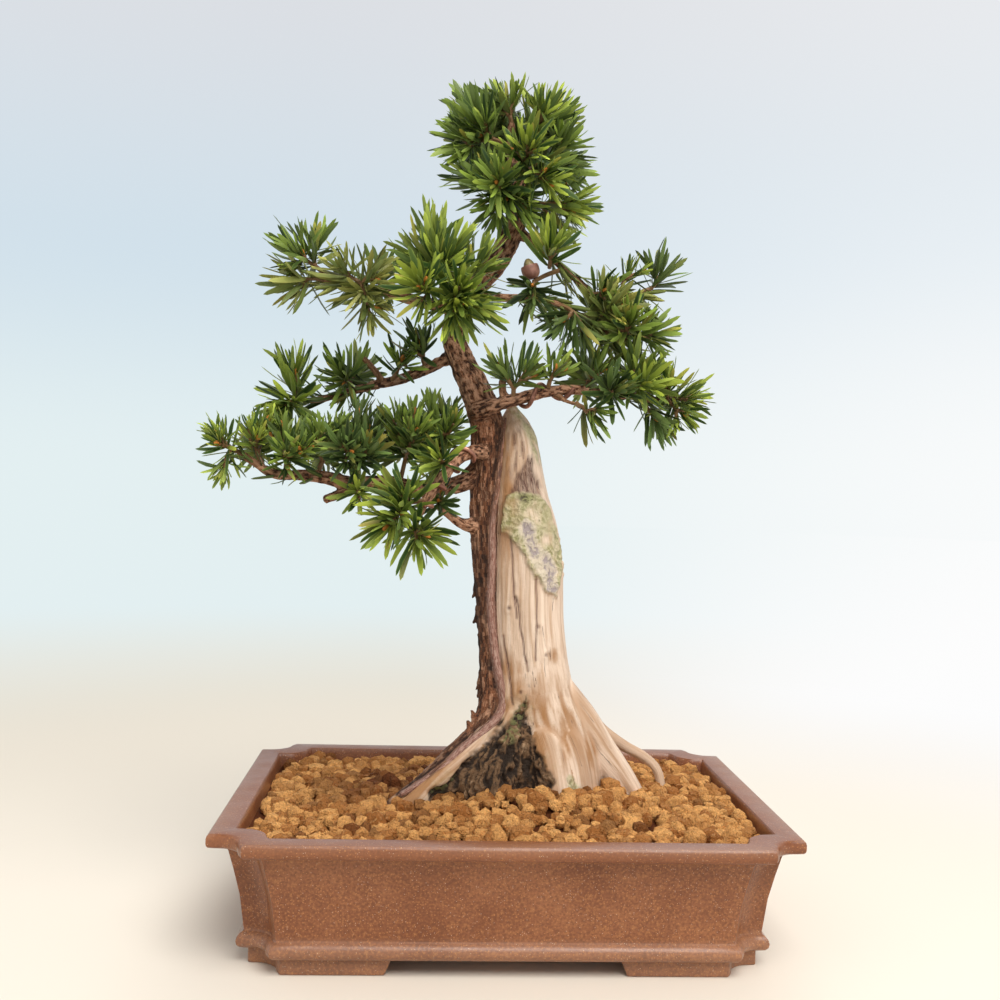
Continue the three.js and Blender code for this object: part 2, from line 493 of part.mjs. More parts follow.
// Way a needle may take from one face of its twig: out from the twig, closing in along the shoot
function needleWay(face, axis, share, length, lift, seedHere, bend) {
  const root = face[0].clone().add(face[1]).add(face[2]).divideScalar(3);
  const normal = face[1].clone().sub(face[0]).cross(face[2].clone().sub(face[0])).normalize();
  const outward = normal.clone().addScaledVector(axis, -normal.dot(axis)).normalize();
  const across = axis.clone().cross(outward);
  const lean = mix(SHOOT.wideLean, SHOOT.closeLean, Math.pow(share, 1.2))
    + (draw(seedHere) - 0.5) * 2 * SHOOT.leanJitter + bend[1];
  const angle = THREE.MathUtils.degToRad(lean);
  const turn = THREE.MathUtils.degToRad(bend[0] + (draw(seedHere + 1) - 0.5) * 2 * SHOOT.turnJitter);
  const aim = turned(axis.clone().multiplyScalar(Math.cos(angle)), outward, across, turn, Math.sin(angle));
  aim.z += lift;
  aim.normalize();
  aim.addScaledVector(normal, Math.max(0, SHOOT.rise - aim.dot(normal))).normalize();
  const reach = length * mix(...NEEDLE.jitter, draw(seedHere + 2)) * (1 - NEEDLE.tipShort * share ** 3);
  return { root, aim, reach };
}

const pointAlong = (way, share) => way.root.clone().addScaledVector(way.aim, share * way.reach);

// Corners that a needle adds to its twig, and its faces over the twig's face that it grows from
function needleOn([a, b, c], way, points) {
  const across = points[b].clone().sub(points[a]);
  across.addScaledVector(way.aim, -across.dot(way.aim)).normalize();
  const upper = way.aim.clone().cross(across).normalize();
  const at = (share, sideways) => pointAlong(way, share)
    .addScaledVector(upper, NEEDLE.bend * way.reach * share * share).addScaledVector(across, sideways);
  const [l, r, tip] = [points.length, points.length + 1, points.length + 2];
  return {
    corners: [at(NEEDLE.widest, -NEEDLE.width / 2), at(NEEDLE.widest, NEEDLE.width / 2), at(1, 0)],
    faces: [[a, b, r], [a, r, l], [l, r, tip], [b, c, r], [r, c, tip], [c, a, l], [c, l, tip]],
  };
}

// Whether an edge of either three-sided face passes through the other
function facesCross(one, other) {
  return [[one, other], [other, one]].some(([edges, face]) => edges.some((from, i) => {
    const edge = edges[(i + 1) % 3].clone().sub(from);
    const ray = new THREE.Ray(from, edge.clone().normalize());
    const hit = ray.intersectTriangle(...face, false, new THREE.Vector3());
    return hit !== null && hit.distanceTo(from) < edge.length();
  }));
}

// Whether a needle's faces pass all faces that its twig has so far, those at its own corners aside
function needleFits(needle, points, faces) {
  const all = [...points, ...needle.corners];
  const room = new THREE.Box3().setFromPoints(needle.faces.flat().map((n) => all[n]));
  return faces.every((face) => {
    const corners = face.map((n) => all[n]);
    if (!room.intersectsBox(new THREE.Box3().setFromPoints(corners))) return true;
    return needle.faces.every((own) => own.some((n) => face.includes(n))
      || !facesCross(own.map((n) => all[n]), corners));
  });
}

// Twig from its foot by its fork to its tip, with a needle on each face past the fork that can bear one
function leafyTwig(foot, fork, tip, grow) {
  const axis = tip.clone().sub(fork).normalize();
  const steps = Math.max(2, Math.round(fork.distanceTo(tip) / SHOOT.step));
  const places = Array.from({ length: steps + 1 }, (_, i) => fork.clone().lerp(tip, i / steps));
  const side = startSide(axis).cross(axis);
  const points = places.flatMap((place, i) => twigRing(place, axis, i, side));
  const bearing = [];
  const plain = [];
  for (let i = 0; i < steps; i += 1) {
    for (let k = 0; k < 3; k += 1) {
      const [a, b] = [3 * i + k, 3 * i + (k + 1) % 3];
      bearing.push({ face: [a, b, a + 3], share: (i + 0.5) / steps });
      plain.push([a + 3, b, b + 3]);
    }
  }
  const [last, end, start] = [3 * steps, points.length, points.length + 1];
  points.push(tip.clone().addScaledVector(axis, SHOOT.budLength));
  for (let k = 0; k < 3; k += 1) bearing.push({ face: [last + k, last + (k + 1) % 3, end], share: 1 });
  if (foot) {
    points.push(...twigRing(foot, fork.clone().sub(foot).normalize(), 0, side));
    plain.push([start + 2, start + 1, start]);
    for (let k = 0; k < 3; k += 1) {
      const next = (k + 1) % 3;
      plain.push([start + k, start + next, k], [k, start + next, next]);
    }
  } else {
    plain.push([2, 1, 0]);
  }
  const grown = bearing.reduce((faces, { face, share }, i) => {
    const others = faces.filter((other) => other !== face);
    const needle = grow(face.map((n) => points[n]), axis, share, i,
      (way) => needleFits(needleOn(face, way, points), points, others));
    if (!needle) return faces;
    const { corners, faces: own } = needleOn(face, needle, points);
    points.push(...corners);
    return [...others, ...own];
  }, [...plain, ...bearing.map(({ face }) => face)]);
  return solidOf(points, grown);
}

// Shortest way between two straight stretches
function stretchDistance([a, b], [c, d]) {
  const [u, v, w] = [b.clone().sub(a), d.clone().sub(c), a.clone().sub(c)];
  const [uu, uv, vv, uw, vw] = [u.dot(u), u.dot(v), v.dot(v), u.dot(w), v.dot(w)];
  const spread = uu * vv - uv * uv;
  let s = spread > 1e-9 ? THREE.MathUtils.clamp((uv * vw - vv * uw) / spread, 0, 1) : 0;
  const t = THREE.MathUtils.clamp((uv * s + vw) / vv, 0, 1);
  s = THREE.MathUtils.clamp((uv * t - uw) / uu, 0, 1);
  return w.addScaledVector(u, s).addScaledVector(v, -t).length();
}

// Stretches already taken, with the spray they belong to, and the ways a needle tries in turn
const taken = [];
const BENDS = [[0, 0], [20, 0], [-20, 0], [0, -14], [35, -8], [-35, -8], [0, 14]];

// Whether a needle passes the other sprays, and also what its own spray holds away from its root
function needleClear(way, spray, shoot) {
  const [near, inner, end] = [0, SHOOT.ownFrom, 1].map((share) => pointAlong(way, share));
  return taken.every((other) => {
    if (other.spray !== spray) return stretchDistance([near, end], other.stretch) > SHOOT.clearance;
    if (other.twigOf === shoot) return true;
    return stretchDistance([inner, end], other.outer ?? other.stretch) > SHOOT.ownClearance;
  });
}

// A spray: its twig forks into shoots, each with the needles that stay clear of all others
function sprayBody([name, , length, foot, fork, tips], index, obstacles) {
  const lift = name.includes("hang") || name.includes("droop") ? -0.45 : 0.16;
  const grow = (shoot) => (face, axis, share, i, fits) => {
    const seedHere = index * 1000 + shoot * 200 + i * 3;
    const way = BENDS.map((bend) => needleWay(face, axis, share, length, lift, seedHere, bend))
      .find((candidate) => needleClear(candidate, name, shoot) && fits(candidate));
    if (way) {
      const [inner, end] = [SHOOT.ownFrom, 1].map((part) => pointAlong(way, part));
      taken.push({ spray: name, stretch: [way.root, end], outer: [inner, end] });
    }
    return way;
  };
  const shoots = tips.map((tip, shoot) => leafyTwig(shoot ? null : v3(foot), v3(fork), v3(tip), grow(shoot)));
  return largest(Manifold.union(shoots).subtract(obstacles));
}

// The twigs take their room before any needle does
for (const [name, , , foot, fork, tips] of SPRAYS) {
  taken.push({ spray: name, stretch: [v3(foot), v3(fork)] });
  tips.forEach((tip, shoot) => taken.push({ spray: name, twigOf: shoot, stretch: [v3(fork), v3(tip)] }));
}

const bonsai = new THREE.Group();

function add(name, body, color, roughness, metalness = 0) {
  const mesh = new THREE.Mesh(geometryOf(body), new THREE.MeshStandardMaterial({ color, roughness, metalness }));
  mesh.name = name;
  bonsai.add(mesh);
}

const live = liveWood();
const liveRoom = liveWood(GAP);
const dead = largest(deadWood().subtract(liveRoom));
const deadRoom = deadWood(GAP);
const woodRoom = Manifold.union([liveRoom, deadRoom]);
const obstacles = Manifold.union([woodRoom, wireLeft(GAP), wireRight(GAP), seedRoom()]);

add("pot", trayBody(), new THREE.Color(0.36, 0.21, 0.14), 0.45);
add("drain_screen_left", drainScreen(-1), new THREE.Color(0.03, 0.03, 0.03), 0.6);
add("drain_screen_right", drainScreen(1), new THREE.Color(0.03, 0.03, 0.03), 0.6);
add("soil", soilBody(woodRoom), new THREE.Color(0.56, 0.33, 0.14), 0.95);
add("deadwood", dead, new THREE.Color(0.72, 0.56, 0.42), 0.8);
add("live_wood", live, new THREE.Color(0.26, 0.13, 0.08), 0.8);
add("wire_left", largest(wireLeft(0).subtract(woodRoom)), new THREE.Color(0.42, 0.2, 0.14), 0.45, 0.9);
add("wire_right", largest(wireRight(0).subtract(woodRoom)), new THREE.Color(0.42, 0.2, 0.14), 0.45, 0.9);
add("seed_cup", seedCup(), new THREE.Color(0.36, 0.17, 0.13), 0.5);
add("seed", seed(), new THREE.Color(0.32, 0.24, 0.13), 0.45);
SPRAYS.forEach((spray, index) => {
  add(`spray_${spray[0]}`, sprayBody(spray, index, obstacles), TONES[spray[1]], 0.5);
});

export default bonsai;
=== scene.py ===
"""Looks of the japanese yew bonsai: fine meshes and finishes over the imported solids.

Lengths are millimetres, as in the solids, and become metres where a mesh is made.
"""
import logging
import math
from dataclasses import dataclass, field
from enum import Enum
from itertools import product
from typing import NamedTuple, Sequence

import bpy
import numpy as np
from mathutils import Matrix, Vector, noise


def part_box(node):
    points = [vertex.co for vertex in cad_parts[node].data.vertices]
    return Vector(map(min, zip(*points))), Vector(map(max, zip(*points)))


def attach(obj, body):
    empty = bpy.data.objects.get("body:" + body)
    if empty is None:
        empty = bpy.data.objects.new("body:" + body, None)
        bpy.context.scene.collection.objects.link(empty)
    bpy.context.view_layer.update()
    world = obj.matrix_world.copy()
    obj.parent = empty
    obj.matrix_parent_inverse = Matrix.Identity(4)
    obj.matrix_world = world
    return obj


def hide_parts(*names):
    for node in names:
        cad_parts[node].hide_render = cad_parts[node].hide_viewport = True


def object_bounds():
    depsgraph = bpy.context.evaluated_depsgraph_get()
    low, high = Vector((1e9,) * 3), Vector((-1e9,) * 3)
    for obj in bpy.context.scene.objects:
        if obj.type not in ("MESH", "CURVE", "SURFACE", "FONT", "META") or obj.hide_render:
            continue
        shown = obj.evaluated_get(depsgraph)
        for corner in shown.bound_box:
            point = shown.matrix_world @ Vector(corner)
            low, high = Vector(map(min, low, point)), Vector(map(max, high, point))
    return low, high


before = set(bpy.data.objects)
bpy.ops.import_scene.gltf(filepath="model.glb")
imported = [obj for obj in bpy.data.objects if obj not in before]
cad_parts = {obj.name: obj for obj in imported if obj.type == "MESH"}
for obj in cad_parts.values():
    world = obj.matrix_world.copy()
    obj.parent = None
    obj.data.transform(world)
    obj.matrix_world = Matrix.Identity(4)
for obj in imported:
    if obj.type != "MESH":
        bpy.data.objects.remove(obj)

CAD_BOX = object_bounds()
MM = 0.001
GAP = 0.3
FAR = 1e9
BLOCK = 4000
GOLDEN_TURN = math.radians(137.508)
AIR = (0.77, 0.865, 0.88)
LOG = logging.getLogger("bonsai")
Point = Sequence[float]
Points = Sequence[Point]
Array = np.ndarray
Shell = tuple[Array, list]
Draws = np.random.Generator
Piece = bpy.types.Object
Material = bpy.types.Material
Tree = bpy.types.NodeTree
Socket = bpy.types.NodeSocket

# Live wood: each limb as points x, y, z and radius, as in the solids
LIVE_TRUNK = (
    (-62, -33, 58, 3.3), (-51, -30, 68, 3.9), (-36, -27, 78.5, 4.7), (-20, -22, 92.5, 5.6),
    (-4, -13, 105.5, 6.4), (3, -6, 119, 7.2), (2.5, -3, 142, 6.6), (0.8, -1, 170, 6.5), (-1.5, 0, 203, 7.6),
    (-2.6, 1, 232, 8.8), (-2.4, 1, 257, 9.5), (-3, 0, 277, 9.4), (-7, -1, 291, 9), (-13, -2, 304, 8.2),
    (-19, -2, 316, 7), (-24, -2, 330, 6.4), (-22, -1, 344, 6), (-13, 1, 358, 6.1), (-3, 3, 370, 6.4),
    (4, 4, 382, 6.6), (9, 4, 394, 6.4), (12, 4, 407, 5.6), (10, 3, 423, 4.4),
    (7, 2, 438, 3.2), (6, 1, 453, 2),
)
LIVE_BRANCHES = {
    "leftUpper": (
        (-21, -4, 345, 4.4), (-32, -14, 345, 3.6), (-44, -22, 346, 3.2), (-59, -24, 349, 2.7),
        (-74, -24, 352, 2.4), (-87, -24, 354, 2), (-98, -24, 356, 1.5),
    ),
    "frontUpper": ((-22, -6, 342, 4), (-27, -22, 347, 3.2), (-31, -33, 352, 2.6)),
    "leftMiddle": (
        (-23, 0, 319, 4.6), (-31, 2, 315, 3.4), (-41, 5, 310, 3.2), (-54, 8, 305, 3), (-70, 10, 301, 2.8),
        (-87, 11, 296, 2.4), (-101, 10, 292, 2), (-109, 9, 291, 1.6),
    ),
    "leftMiddleStub": ((-63, 9, 302, 2), (-69, 6, 310, 1.9), (-75, 4, 316, 1.8)),
    "leftLower": (
        (-6, 2, 254, 6.5), (-17, -4, 246, 5), (-29, -8, 243, 4.4), (-45, -13, 243, 4.2), (-60, -18, 245, 4.2),
        (-78, -24, 244, 4.2), (-92, -29, 247, 3.6), (-106, -33, 248, 3), (-119, -36, 248, 2.6),
        (-128, -38, 253, 2.1), (-137, -39, 259, 2),
    ),
    "leftLowerStub": ((-78, -24, 243, 3), (-85, -26, 238, 2.5), (-92, -27, 235, 2.5)),
    "frontLower": (
        (-4, -3, 264, 5), (-13, -20, 263, 3.6), (-20, -30, 259, 3.3), (-26, -38, 252, 3.1),
        (-31, -45, 244, 2.8), (-36, -52, 237, 2.4), (-40, -58, 229, 2),
    ),
    "leftTwig": ((-9, -2, 222, 5), (-16, -6, 223, 3), (-24, -10, 228, 2.2), (-30, -14, 232, 1.6)),
    "rightUpper": (
        (12, 4, 392, 4), (19, 2, 387, 2.4), (25, -1, 382, 2.2), (36, -3, 372, 1.9), (46, -4, 364, 1.9),
        (58, -4, 355, 1.8), (71, -4, 355, 1.5), (84, -4, 357, 1.3),
    ),
    "rightMiddle": (
        (-13, -2, 355, 4), (-4, -8, 352, 2.6), (8, -13, 351, 2.2), (21, -16, 351, 2), (33, -16, 348, 1.9),
        (46, -14, 343, 1.8), (60, -10, 336, 1.6), (71, -6, 330, 1.4),
    ),
    "rightLower": (
        (-8, -6, 287, 6), (1, -17, 290, 4), (14, -20, 294, 3.6), (28, -20, 298, 3.3), (44, -18, 300, 2.9),
        (59, -15, 299, 2.5), (77, -12, 298, 2.1), (94, -10, 296, 1.9),
    ),
    "rightLowerStub": ((6, -18, 292, 2.6), (4, -19, 299, 2.2), (4, -20, 304, 2.2)),
    "rightLowerTwig": ((34, -20, 297, 2), (40, -24, 293, 1.2), (47, -27, 291, 1)),
}

# Deadwood: the bleached trunk and its roots, in the same terms
DEAD_TRUNK = (
    (11, 2, 290, 3), (12, 4, 283, 8), (14, 6, 272, 12), (15, 7, 255, 14.5), (17, 7, 237, 16.5),
    (20, 7, 220, 19), (22, 7, 197, 21), (23, 7, 167, 21.5), (25, 7, 144, 22.5), (27, 7, 124, 25),
    (31, 8, 103, 30), (34, 8, 86, 34), (36, 8, 62, 36),
)
DEAD_ROOTS = {
    "right": ((40, 6, 127, 12), (55, 5, 109, 12), (67, 4, 93, 10.5), (78, 3, 79, 9.5), (90, 2, 60, 9)),
    "middle": ((26, -4, 114, 13), (34, -14, 95, 13), (38, -22, 76, 13), (40, -26, 60, 13)),
    "left": ((9, -4, 111, 10), (-9, -18, 95, 8), (-26, -26, 81, 7), (-44, -32, 64, 6)),
    "thin": (
        (50, 12, 121, 7), (61, 14, 109, 5.4), (72, 18, 100, 3.8), (86, 22, 91, 3), (97, 22, 85, 2.8),
        (104, 18, 79, 2.4), (107, 12, 66, 2.2),
    ),
    "backLeft": ((25, 10, 126, 13), (22, 20, 107, 14), (15, 38, 84, 12), (13, 50, 60, 10)),
    "backRight": ((32, 10, 128, 13), (37, 20, 110, 14), (54, 38, 88, 12), (69, 48, 60, 10)),
}


class Spray(NamedTuple):
    """Leafy shoots on one twig: its foot in the wood, its fork, and the tip of each main shoot."""

    name: str
    tone: str
    length: float
    foot: Point
    fork: Point
    tips: Points


# Sprays, each in the place of the solid of its name; the dark tone is partly painted shade, the bright tone
# partly painted light
SPRAYS = tuple(Spray(*row) for row in (
    ("head_top", "bright", 22, (6, 1, 452), (5, 0, 457), ((6, -2, 468), (-3, 7, 466))),
    ("head_top_right", "bright", 21, (7, 2, 439), (16, -2, 444), ((27, -8, 460), (35, 4, 458))),
    ("head_face", "bright", 22, (8, 2, 430), (13, -15, 424), ((13, -34, 432), (26, -30, 412))),
    ("head_left_top", "mid", 23, (7, 2, 440), (-5, -5, 442),
        ((-17, -12, 451), (-19, 6, 462), (-22, -9, 436))),
    ("head_left_low", "mid", 22, (11, 3, 418), (1, -12, 411),
        ((-19, -8, 420), (-3, -34, 410), (-1, -18, 398), (12, -20, 401))),
    ("head_right", "mid", 22, (9, 3, 430), (25, -2, 431), ((37, -8, 441), (40, 2, 427))),
    ("head_right_low", "bright", 22, (12, 4, 411), (24, 2, 408), ((44, 0, 409), (34, 6, 398))),
    ("head_back", "dark", 22, (10, 3, 426), (10, 22, 433),
        ((1, 36, 466), (24, 34, 464), (-14, 40, 443), (40, 38, 442))),
    ("head_back_low", "dark", 22, (12, 4, 415), (13, 24, 417), ((12, 46, 423),)),
    ("front_top", "bright", 23, (-31, -31, 351), (-34, -36, 359),
        ((-37, -36, 382), (-26, -42, 371), (-45, -30, 369))),
    ("front_face_left", "bright", 23, (-30, -29, 350), (-37, -41, 348), ((-43, -56, 348),)),
    ("front_face_right", "bright", 23, (-28, -25, 349), (-25, -38, 347),
        ((-22, -54, 349), (-25, -50, 336), (-12, -40, 341))),
    ("front_right_top", "bright", 22, (-26, -20, 347), (-19, -24, 356), ((-11, -26, 370),)),
    ("left_upper_tip", "olive", 24, (-96, -24, 355), (-102, -24, 356), ((-111, -26, 355),)),
    ("left_upper_pair", "mid", 22, (-90, -24, 354), (-101, -22, 363), ((-114, -28, 370), (-103, -16, 375))),
    ("left_upper_middle", "olive", 20, (-74, -24, 352), (-75, -31, 353),
        ((-68, -34, 360), (-85, -30, 359), (-70, -35, 336))),
    ("left_upper_back", "mid", 21, (-67, -24, 350), (-66, -12, 355), ((-67, 6, 363),)),
    ("left_middle_tip", "bright", 23, (-106, 9, 291), (-112, 6, 293), ((-115, 6, 307), (-117, -10, 287))),
    ("left_middle_two", "mid", 21, (-80, 11, 298), (-83, 12, 303), ((-88, 2, 307), (-78, 31, 311))),
    ("left_middle_three", "mid", 18, (-59, 9, 303), (-56, 5, 308), ((-53, -3, 315),)),
    ("left_middle_four", "dark", 22, (-40, 5, 311), (-41, 2, 316), ((-42, -3, 324),)),
    ("pad_tip", "bright", 15, (-135, -39, 258), (-141, -41, 261),
        ((-149, -44, 269), (-146, -53, 263), (-144, -44, 250))),
    ("pad_one", "bright", 15, (-124, -37, 251), (-128, -35, 259),
        ((-132, -42, 272), (-125, -30, 274), (-134, -3, 265))),
    ("pad_two", "mid", 15, (-112, -35, 248), (-112, -39, 256),
        ((-115, -38, 273), (-108, -25, 272), (-111, -58, 260), (-99, -52, 262))),
    ("pad_three", "mid", 16, (-95, -30, 247), (-94, -26, 256),
        ((-97, -33, 271), (-85, -22, 275), (-104, 10, 269), (-86, 16, 274))),
    ("pad_four", "dark", 18, (-77, -24, 244), (-77, -29, 256),
        ((-75, -20, 284), (-65, -6, 279), (-82, -54, 264), (-66, -52, 263))),
    ("pad_five", "mid", 18, (-52, -15, 244), (-49, -16, 259),
        ((-45, -12, 284), (-56, -22, 280), (-43, -46, 273), (-57, 22, 272))),
    ("pad_six", "mid", 18, (-36, -10, 243), (-32, -9, 263),
        ((-35, -2, 288), (-23, 4, 287), (-23, -32, 278), (-40, 26, 277))),
    ("pad_wire", "bright", 19, (-24, -35, 255), (-27, -46, 256), ((-30, -57, 258),)),
    ("pad_under", "bright", 17, (-74, -23, 244), (-74, -32, 240), ((-73, -45, 240),)),
    ("low_face", "bright", 23, (-39, -56, 232), (-42, -66, 223), ((-41, -77, 216),)),
    ("low_face_left", "bright", 23, (-36, -52, 237), (-45, -57, 235), ((-56, -74, 223), (-50, -62, 238))),
    ("low_inner", "dark", 20, (-28, -12, 231), (-29, -17, 234), ((-30, -30, 236),)),
    ("seed_face", "bright", 23, (30, -2, 377), (29, -13, 369), ((28, -24, 377),)),
    ("seed_low", "dark", 22, (38, -3, 370), (20, -18, 359.8), ((19, -27, 349),)),
    ("right_hang", "dark", 20, (36, -16, 347), (42, -22, 343), ((37, -28, 338), (49, -22, 331))),
    ("right_top", "mid", 19, (53, -4, 358), (55, -11, 355), ((59, -18, 356),)),
    ("right_olive", "olive", 23, (58, -10, 337), (58, -10, 343), ((64, -24, 345), (73, 20, 350))),
    ("right_bud", "bright", 15, (70, -4, 355), (72, -5, 361), ((75, -6, 369),)),
    ("right_tip", "dark", 22, (82, -4, 357), (88, -4, 360), ((94, -5, 367),)),
    ("right_end", "mid", 21, (69, -7, 331), (75, -11, 331), ((71, -30, 338), (91, -13, 334))),
    ("low_right_one", "mid", 19, (11, -20, 293), (10, -23, 299), ((3, -26, 310), (16, -28, 309))),
    ("low_right_three", "mid", 17, (29, -20, 298), (30, -23, 304), ((32, -27, 310),)),
    ("low_right_four", "mid", 20, (51, -17, 300), (53, -12, 305), ((57, -14, 313), (56, 15, 312))),
    ("low_right_face", "dark", 21, (63, -14, 299), (63, -23, 299), ((63, -38, 298),)),
    ("low_right_tall", "bright", 23, (76, -12, 298), (78, -15, 303), ((78, -17, 315), (84, -28, 303))),
    ("low_right_end", "bright", 19, (93, -10, 296), (99, -11, 297),
        ((112, -12, 299), (98, -15, 307), (107, -18, 289))),
    ("low_right_hang", "dark", 20, (83, -11, 297), (86, -14, 292), ((90, -21, 286),)),
    ("low_right_droop", "mid", 20, (45, -26, 292), (48, -28, 290), ((51, -32, 286),)),
    ("low_right_back", "dark", 20, (80, -12, 298), (84, -4, 302), ((92, 18, 307),)),
))

# Needles along the branches themselves: branch, part of its length, needle length; the dark ones partly
# painted shade along the middle and lower branches
FRINGES = {
    "olive": (("rightUpper", (0.35, 1), 19), ("rightMiddle", (0.3, 1), 20), ("leftUpper", (0.5, 1), 20)),
    "dark": (("leftMiddle", (0.5, 1), 16), ("leftLower", (0.5, 1), 13), ("rightLower", (0.6, 1), 16)),
}

# Room that stays free of needles round the hanging seed
SEED_ROOM = ((20.5, -18, 366, 6.8), (19.6, -30, 364.8, 6.8), (18, -50, 361, 6.5))


class Tone(Enum):
    """Foliage tones, each with its old and its young colour: DARK is partly painted shade for sprays behind,
    inside and hanging under, BRIGHT partly painted light on sprays in front and on top.
    """

    BRIGHT = ((0.02, 0.055, 0.008), (0.52, 0.62, 0.075))
    MID = ((0.014, 0.038, 0.008), (0.33, 0.45, 0.06))
    DARK = ((0.009, 0.024, 0.006), (0.14, 0.22, 0.05))
    OLIVE = ((0.07, 0.09, 0.018), (0.5, 0.47, 0.12))


def draw(seed: float) -> float:
    """Even draw between 0 and 1, the same for the same seed."""
    wave = math.sin(seed * 12.9898 + 4.1414) * 43758.5453
    return wave - math.floor(wave)


def mix(low: float, high: float, share: float) -> float:
    """Value between low and high at a share."""
    return low + (high - low) * share


def smooth(low: float, high: float, values: Array) -> Array:
    """Soft step of values from 0 at low to 1 at high."""
    share = np.clip((values - low) / (high - low), 0, 1)
    return share * share * (3 - 2 * share)


def unit(vectors: Array) -> Array:
    """The vectors at length one."""
    return vectors / np.maximum(np.linalg.norm(vectors, axis=-1, keepdims=True), 1e-9)


def relief(points: Array, scale: Point | float, shift: float = 0.0) -> Array:
    """Smooth noise from about -1 to 1 at points.

    Args:
        points: places, one a row.
        scale: waves per millimetre, alike in all directions or one number for each.
        shift: moves the pattern, so that two reliefs differ.

    Returns:
        One value for each place.
    """
    places = points * np.array(scale) + shift
    return np.array([noise.noise(Vector(place)) for place in places])


def drawn(grain: Array, across: float, along: float, shift: float = 0.0) -> Array:
    """Smooth noise drawn out along the grain, its waves per millimetre across and along it."""
    return relief(grain, (across, across, along), shift)


def patches(points: Array, scale: Point | float, shift: float, gain: float, level: float) -> Array:
    """Patches of noise from 0 to 1, sharper with more gain and more of them at a higher level."""
    return np.clip(relief(points, scale, shift) * gain + level, 0, 1)


def wobble(points: Array, scale: float, *shifts: float) -> Array:
    """Smooth noise in several columns, one for each shift."""
    return np.column_stack([relief(points, scale, shift) for shift in shifts])


def spline(points: Array, shares: Array) -> Array:
    """Centripetal curve through points.

    Args:
        points: the points it passes through.
        shares: where it is read, from 0 at the first point to 1 at the last.

    Returns:
        The places on the curve.
    """
    ends = np.vstack([2 * points[0] - points[1], points, 2 * points[-1] - points[-2]])
    place = np.clip(shares, 0, 1) * (len(points) - 1)
    start = np.minimum(place.astype(int), len(points) - 2)
    t = (place - start)[:, None]
    p0, p1, p2, p3 = (ends[start + k] for k in range(4))
    d0, d1, d2 = (
        np.sqrt(np.linalg.norm(b - a, axis=1, keepdims=True)) for a, b in ((p0, p1), (p1, p2), (p2, p3)))
    m1 = ((p1 - p0) / d0 - (p2 - p0) / (d0 + d1) + (p2 - p1) / d1) * d1
    m2 = ((p2 - p1) / d1 - (p3 - p1) / (d1 + d2) + (p3 - p2) / d2) * d1
    return p1 + m1 * t + (3 * (p2 - p1) - 2 * m1 - m2) * t**2 + (2 * (p1 - p2) + m1 + m2) * t**3


def activate(obj: Piece) -> None:
    """Selects one object alone and makes it active."""
    bpy.ops.object.select_all(action="DESELECT")
    obj.select_set(True)
    bpy.context.view_layer.objects.active = obj


def new_piece(name: str, points: Array, faces: list) -> Piece:
    """Mesh object at the origin.

    Args:
        name: the piece's name.
        points: its corners in millimetres.
        faces: corner numbers of each face, facing out.

    Returns:
        The object, smoothly shaded.
    """
    mesh = bpy.data.meshes.new(name)
    mesh.from_pydata((np.asarray(points) * MM).tolist(), [], faces)
    mesh.update()
    obj = bpy.data.objects.new(name, mesh)
    bpy.context.collection.objects.link(obj)
    activate(obj)
    bpy.ops.object.shade_smooth()
    return obj


def modify(obj: Piece, kind: str, **settings: object) -> None:
    """Adds a modifier with its settings and applies it."""
    activate(obj)
    modifier = obj.modifiers.new(kind.title(), kind)
    for name, value in settings.items():
        setattr(modifier, name, value)
    bpy.ops.object.modifier_apply(modifier=modifier.name)


def corners(obj: Piece) -> Array:
    """Corners of a piece in millimetres."""
    flat = np.empty(len(obj.data.vertices) * 3)
    obj.data.vertices.foreach_get("co", flat)
    return flat.reshape(-1, 3) / MM


def outward(obj: Piece) -> Array:
    """Directions out of a piece's surface at its corners."""
    flat = np.empty(len(obj.data.vertices) * 3)
    obj.data.vertices.foreach_get("normal", flat)
    return flat.reshape(-1, 3)


def move_corners(obj: Piece, points: Array) -> None:
    """Puts a piece's corners at new places in millimetres."""
    obj.data.vertices.foreach_set("co", (points * MM).ravel())
    obj.data.update()


def note(obj: Piece, **marks: Array) -> None:
    """Keeps a number or a vector for each corner under each mark's name, for the finish to read."""
    for name, values in marks.items():
        vector = np.ndim(values) == 2
        kept = obj.data.attributes.new(name, "FLOAT_VECTOR" if vector else "FLOAT", "POINT")
        flat = np.ascontiguousarray(values, np.float32).ravel()
        kept.data.foreach_set("vector" if vector else "value", flat)


def hand_over(obj: Piece, material: Material, slot: str, *nodes: str) -> None:
    """Dresses a finished piece and puts it in the place of the solids it stands for.

    Args:
        obj: the piece.
        material: its finish.
        slot: the record's material slot; not used.
        nodes: the solids that it replaces.
    """
    obj.data.materials.clear()
    obj.data.materials.append(material)
    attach(obj, "root")
    if nodes:
        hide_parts(*nodes)
    LOG.info("%s: %d faces", obj.name, len(obj.data.polygons))


